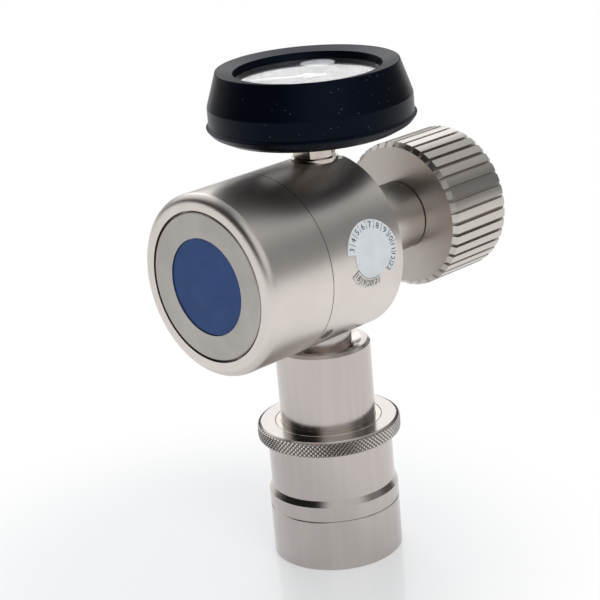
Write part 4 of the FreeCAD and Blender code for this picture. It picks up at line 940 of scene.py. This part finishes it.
month_turns = MONTH_FIRST - MONTH_TURN * np.arange(len(MONTHS))
year_turns = YEAR_FIRST + YEAR_TURN * np.arange(len(YEARS))
shapes = [laid(number(month, MONTH_HEIGHT), NUMBER_REACH, turn, turn - math.pi / 2)
          for month, turn in zip(MONTHS, month_turns)]
shapes += [laid(number(year, YEAR_HEIGHT), NUMBER_REACH, turn, turn + math.pi / 2)
           for year, turn in zip(YEARS, year_turns)]
dividers = np.concatenate((month_turns[:-1] - MONTH_TURN / 2, year_turns - YEAR_TURN / 2))
shapes.append(bars(dividers, DIVIDER_INNER, DIVIDER_OUTER, DIVIDER_WIDTH))
shapes.append(arc(YEAR_FIRST - YEAR_TURN / 2, YEAR_FIRST + (len(YEARS) - 0.5) * YEAR_TURN,
                  RULE_INNER, RULE_OUTER, RULE_STEPS))
ring_ink, ring_faces = gather(shapes)
label_ink, tree, shader, place = new_finish("Dark label ink", "#1E2328", 0.0, 0.5)
shade(tree, shader, place, 1, ("#1A1E23", "#262B31"))
new_piece("sticker_print", on_barrel(ring_ink, PAPER + PRINT_LIFT), ring_faces, label_ink,
          "frame")

# %% [markdown]
# ## Floor
#
# The photograph was taken on a white glossy table that fades to white all round. The floor is
# wide enough that its edge never shows. Near the regulator part of its own shading is left in,
# which keeps the shadow and the reflection. Further out it glows in plain white, for camera,
# mirror and glass rays alike.

# %% Lay the floor
FLOOR_HALF = 3.0
FLOOR_DROP = 0.05 * MM
sheet = bpy.data.meshes.new("floor")
corners = np.array([(-1, -1, 0), (1, -1, 0), (1, 1, 0), (-1, 1, 0)]) * FLOOR_HALF
sheet.from_pydata((corners - (0, 0, FLOOR_DROP)).tolist(), [], [(0, 1, 2, 3)])
floor = bpy.data.objects.new("floor", sheet)
bpy.context.scene.collection.objects.link(floor)
print("floor is", 2 * FLOOR_HALF, "m wide")

# %% Paint the floor
SHADE_CENTRE = (-0.015, -0.03, 0)
SHADE_ENDS = (0.045, 0.115)
NEAR_GLOW = 0.42
table_white, tree, shader, place = new_finish("White glossy table", "#E6E9EC", 0.0, 0.12)
rays = add(tree, "LightPath").outputs
sight = maths(tree, "MAXIMUM", rays["Is Camera Ray"], rays["Is Glossy Ray"])
sight = maths(tree, "MAXIMUM", sight, rays["Is Transmission Ray"])
away = vector_maths(tree, "DISTANCE", place, SHADE_CENTRE)
paling = ramp(tree, away, *SHADE_ENDS, NEAR_GLOW, 1.0, eased=True)
glow = maths(tree, "MULTIPLY", sight, paling)
bright = add(tree, "Emission", {"Color": (1, 1, 1, 1), "Strength": 1.0}).outputs["Emission"]
mixed = add(tree, "MixShader", {0: glow, 1: shader.outputs["BSDF"], 2: bright})
tree.links.new(mixed.outputs["Shader"], tree.nodes["Material Output"].inputs["Surface"])
sheet.materials.append(table_white)
print("floor shades off within", SHADE_ENDS[1] / MM, "mm")

# %% [markdown]
# ## Studio light
#
# Satin metal shows its room: a white screen behind, dimmer light high on both sides of it and
# above the camera, a faint wall on the right, and a dark stretch in front on the left and
# behind on the right. For mirror rays the world paints these as soft patches round chosen
# directions, each full inside one angle and gone beyond another, and a dark one takes light
# away. The screen hangs, and its foot is an edge in the glass over the dial. Straight to the
# camera the world is white, and for matt surfaces it is an even light.

# %% Paint the patches
ROOM_LIGHT = 0.22
SCREEN = "screen behind"
PATCHES = {
    # Name: towards, full within degrees, gone beyond degrees, light
    SCREEN: ((-0.70, 0.64, 0.36), 14, 32, 1.45),
    "high on the left": ((-0.86, -0.02, 0.66), 14, 36, 0.85),
    "high on the right": ((0.05, 0.66, 0.74), 14, 38, 0.4),
    "pale wall on the right": ((0.72, 0.64, 0.30), 20, 50, 0.08),
    "above the camera": ((0.67, -0.32, 0.66), 24, 45, 0.62),
    "dark in front on the left": ((-0.35, -0.80, 0.45), 28, 55, -0.21),
    "dark behind on the right": ((0.28, 0.91, 0.26), 12, 30, -0.2),
}
# Heights above the horizon between which the screen begins, as shares of the distance
SCREEN_FOOT = (0.2115, 0.2160)

world = bpy.data.worlds.new("Studio")
bpy.context.scene.world = world
world.use_nodes = True
tree = world.node_tree
tree.nodes.clear()
toward = add(tree, "TexCoord").outputs["Generated"]
height = add(tree, "SeparateXYZ", {"Vector": toward}).outputs["Z"]
raised = ramp(tree, height, *SCREEN_FOOT, eased=True)
light = ROOM_LIGHT
for name, (direction, full, gone, strength) in PATCHES.items():
    near = vector_maths(tree, "DOT_PRODUCT", toward, Vector(direction).normalized())
    spot = ramp(tree, near, math.cos(math.radians(gone)), math.cos(math.radians(full)), eased=True)
    if name == SCREEN:
        spot = maths(tree, "MULTIPLY", spot, raised)
    light = maths(tree, "MULTIPLY_ADD", spot, strength, light)
print("room has", len(PATCHES), "patches of light")

# %% Light each kind of ray
EVEN_LIGHT = 0.55
mirror = add(tree, "Background", {"Color": (0.97, 0.985, 1.0, 1), "Strength": light}).outputs[0]
even = add(tree, "Background", {"Color": (1, 1, 1, 1), "Strength": EVEN_LIGHT}).outputs[0]
white = add(tree, "Background", {"Color": (1, 1, 1, 1), "Strength": 1.0}).outputs[0]
rays = add(tree, "LightPath").outputs
room = add(tree, "MixShader", {0: rays["Is Glossy Ray"], 1: even, 2: mirror}).outputs[0]
straight = maths(tree, "MAXIMUM", rays["Is Camera Ray"], rays["Is Transmission Ray"])
seen = add(tree, "MixShader", {0: straight, 1: room, 2: white}).outputs[0]
add(tree, "OutputWorld", {"Surface": seen})
print("world has", len(tree.nodes), "nodes")

# %% [markdown]
# Two large soft lamps give the matt surfaces their shape. The room above stands for them in
# reflections, so they are kept out of those.

# %% Hang the lamps
LIT_MIDDLE = Vector((0, 0, 0.08))


def soft_lamp(name, place, size, power):
    """A square lamp aimed at the regulator's middle."""
    lamp = bpy.data.lights.new(name, "AREA")
    lamp.size = size
    lamp.energy = power
    hung = bpy.data.objects.new(name, lamp)
    hung.location = place
    hung.rotation_euler = (LIT_MIDDLE - Vector(place)).to_track_quat("-Z", "Y").to_euler()
    hung.visible_glossy = False
    bpy.context.scene.collection.objects.link(hung)


soft_lamp("Screen behind on the left", (-0.55, 0.45, 0.55), 0.6, 3.2)
soft_lamp("Window beside the camera", (0.75, -0.25, 0.5), 0.5, 2.6)
print("two lamps hung")

# %% [markdown]
# ## Update the scene
#
# The dressed model has to stay inside the CAD model's box.

# %% Update the view layer
bpy.context.view_layer.update()
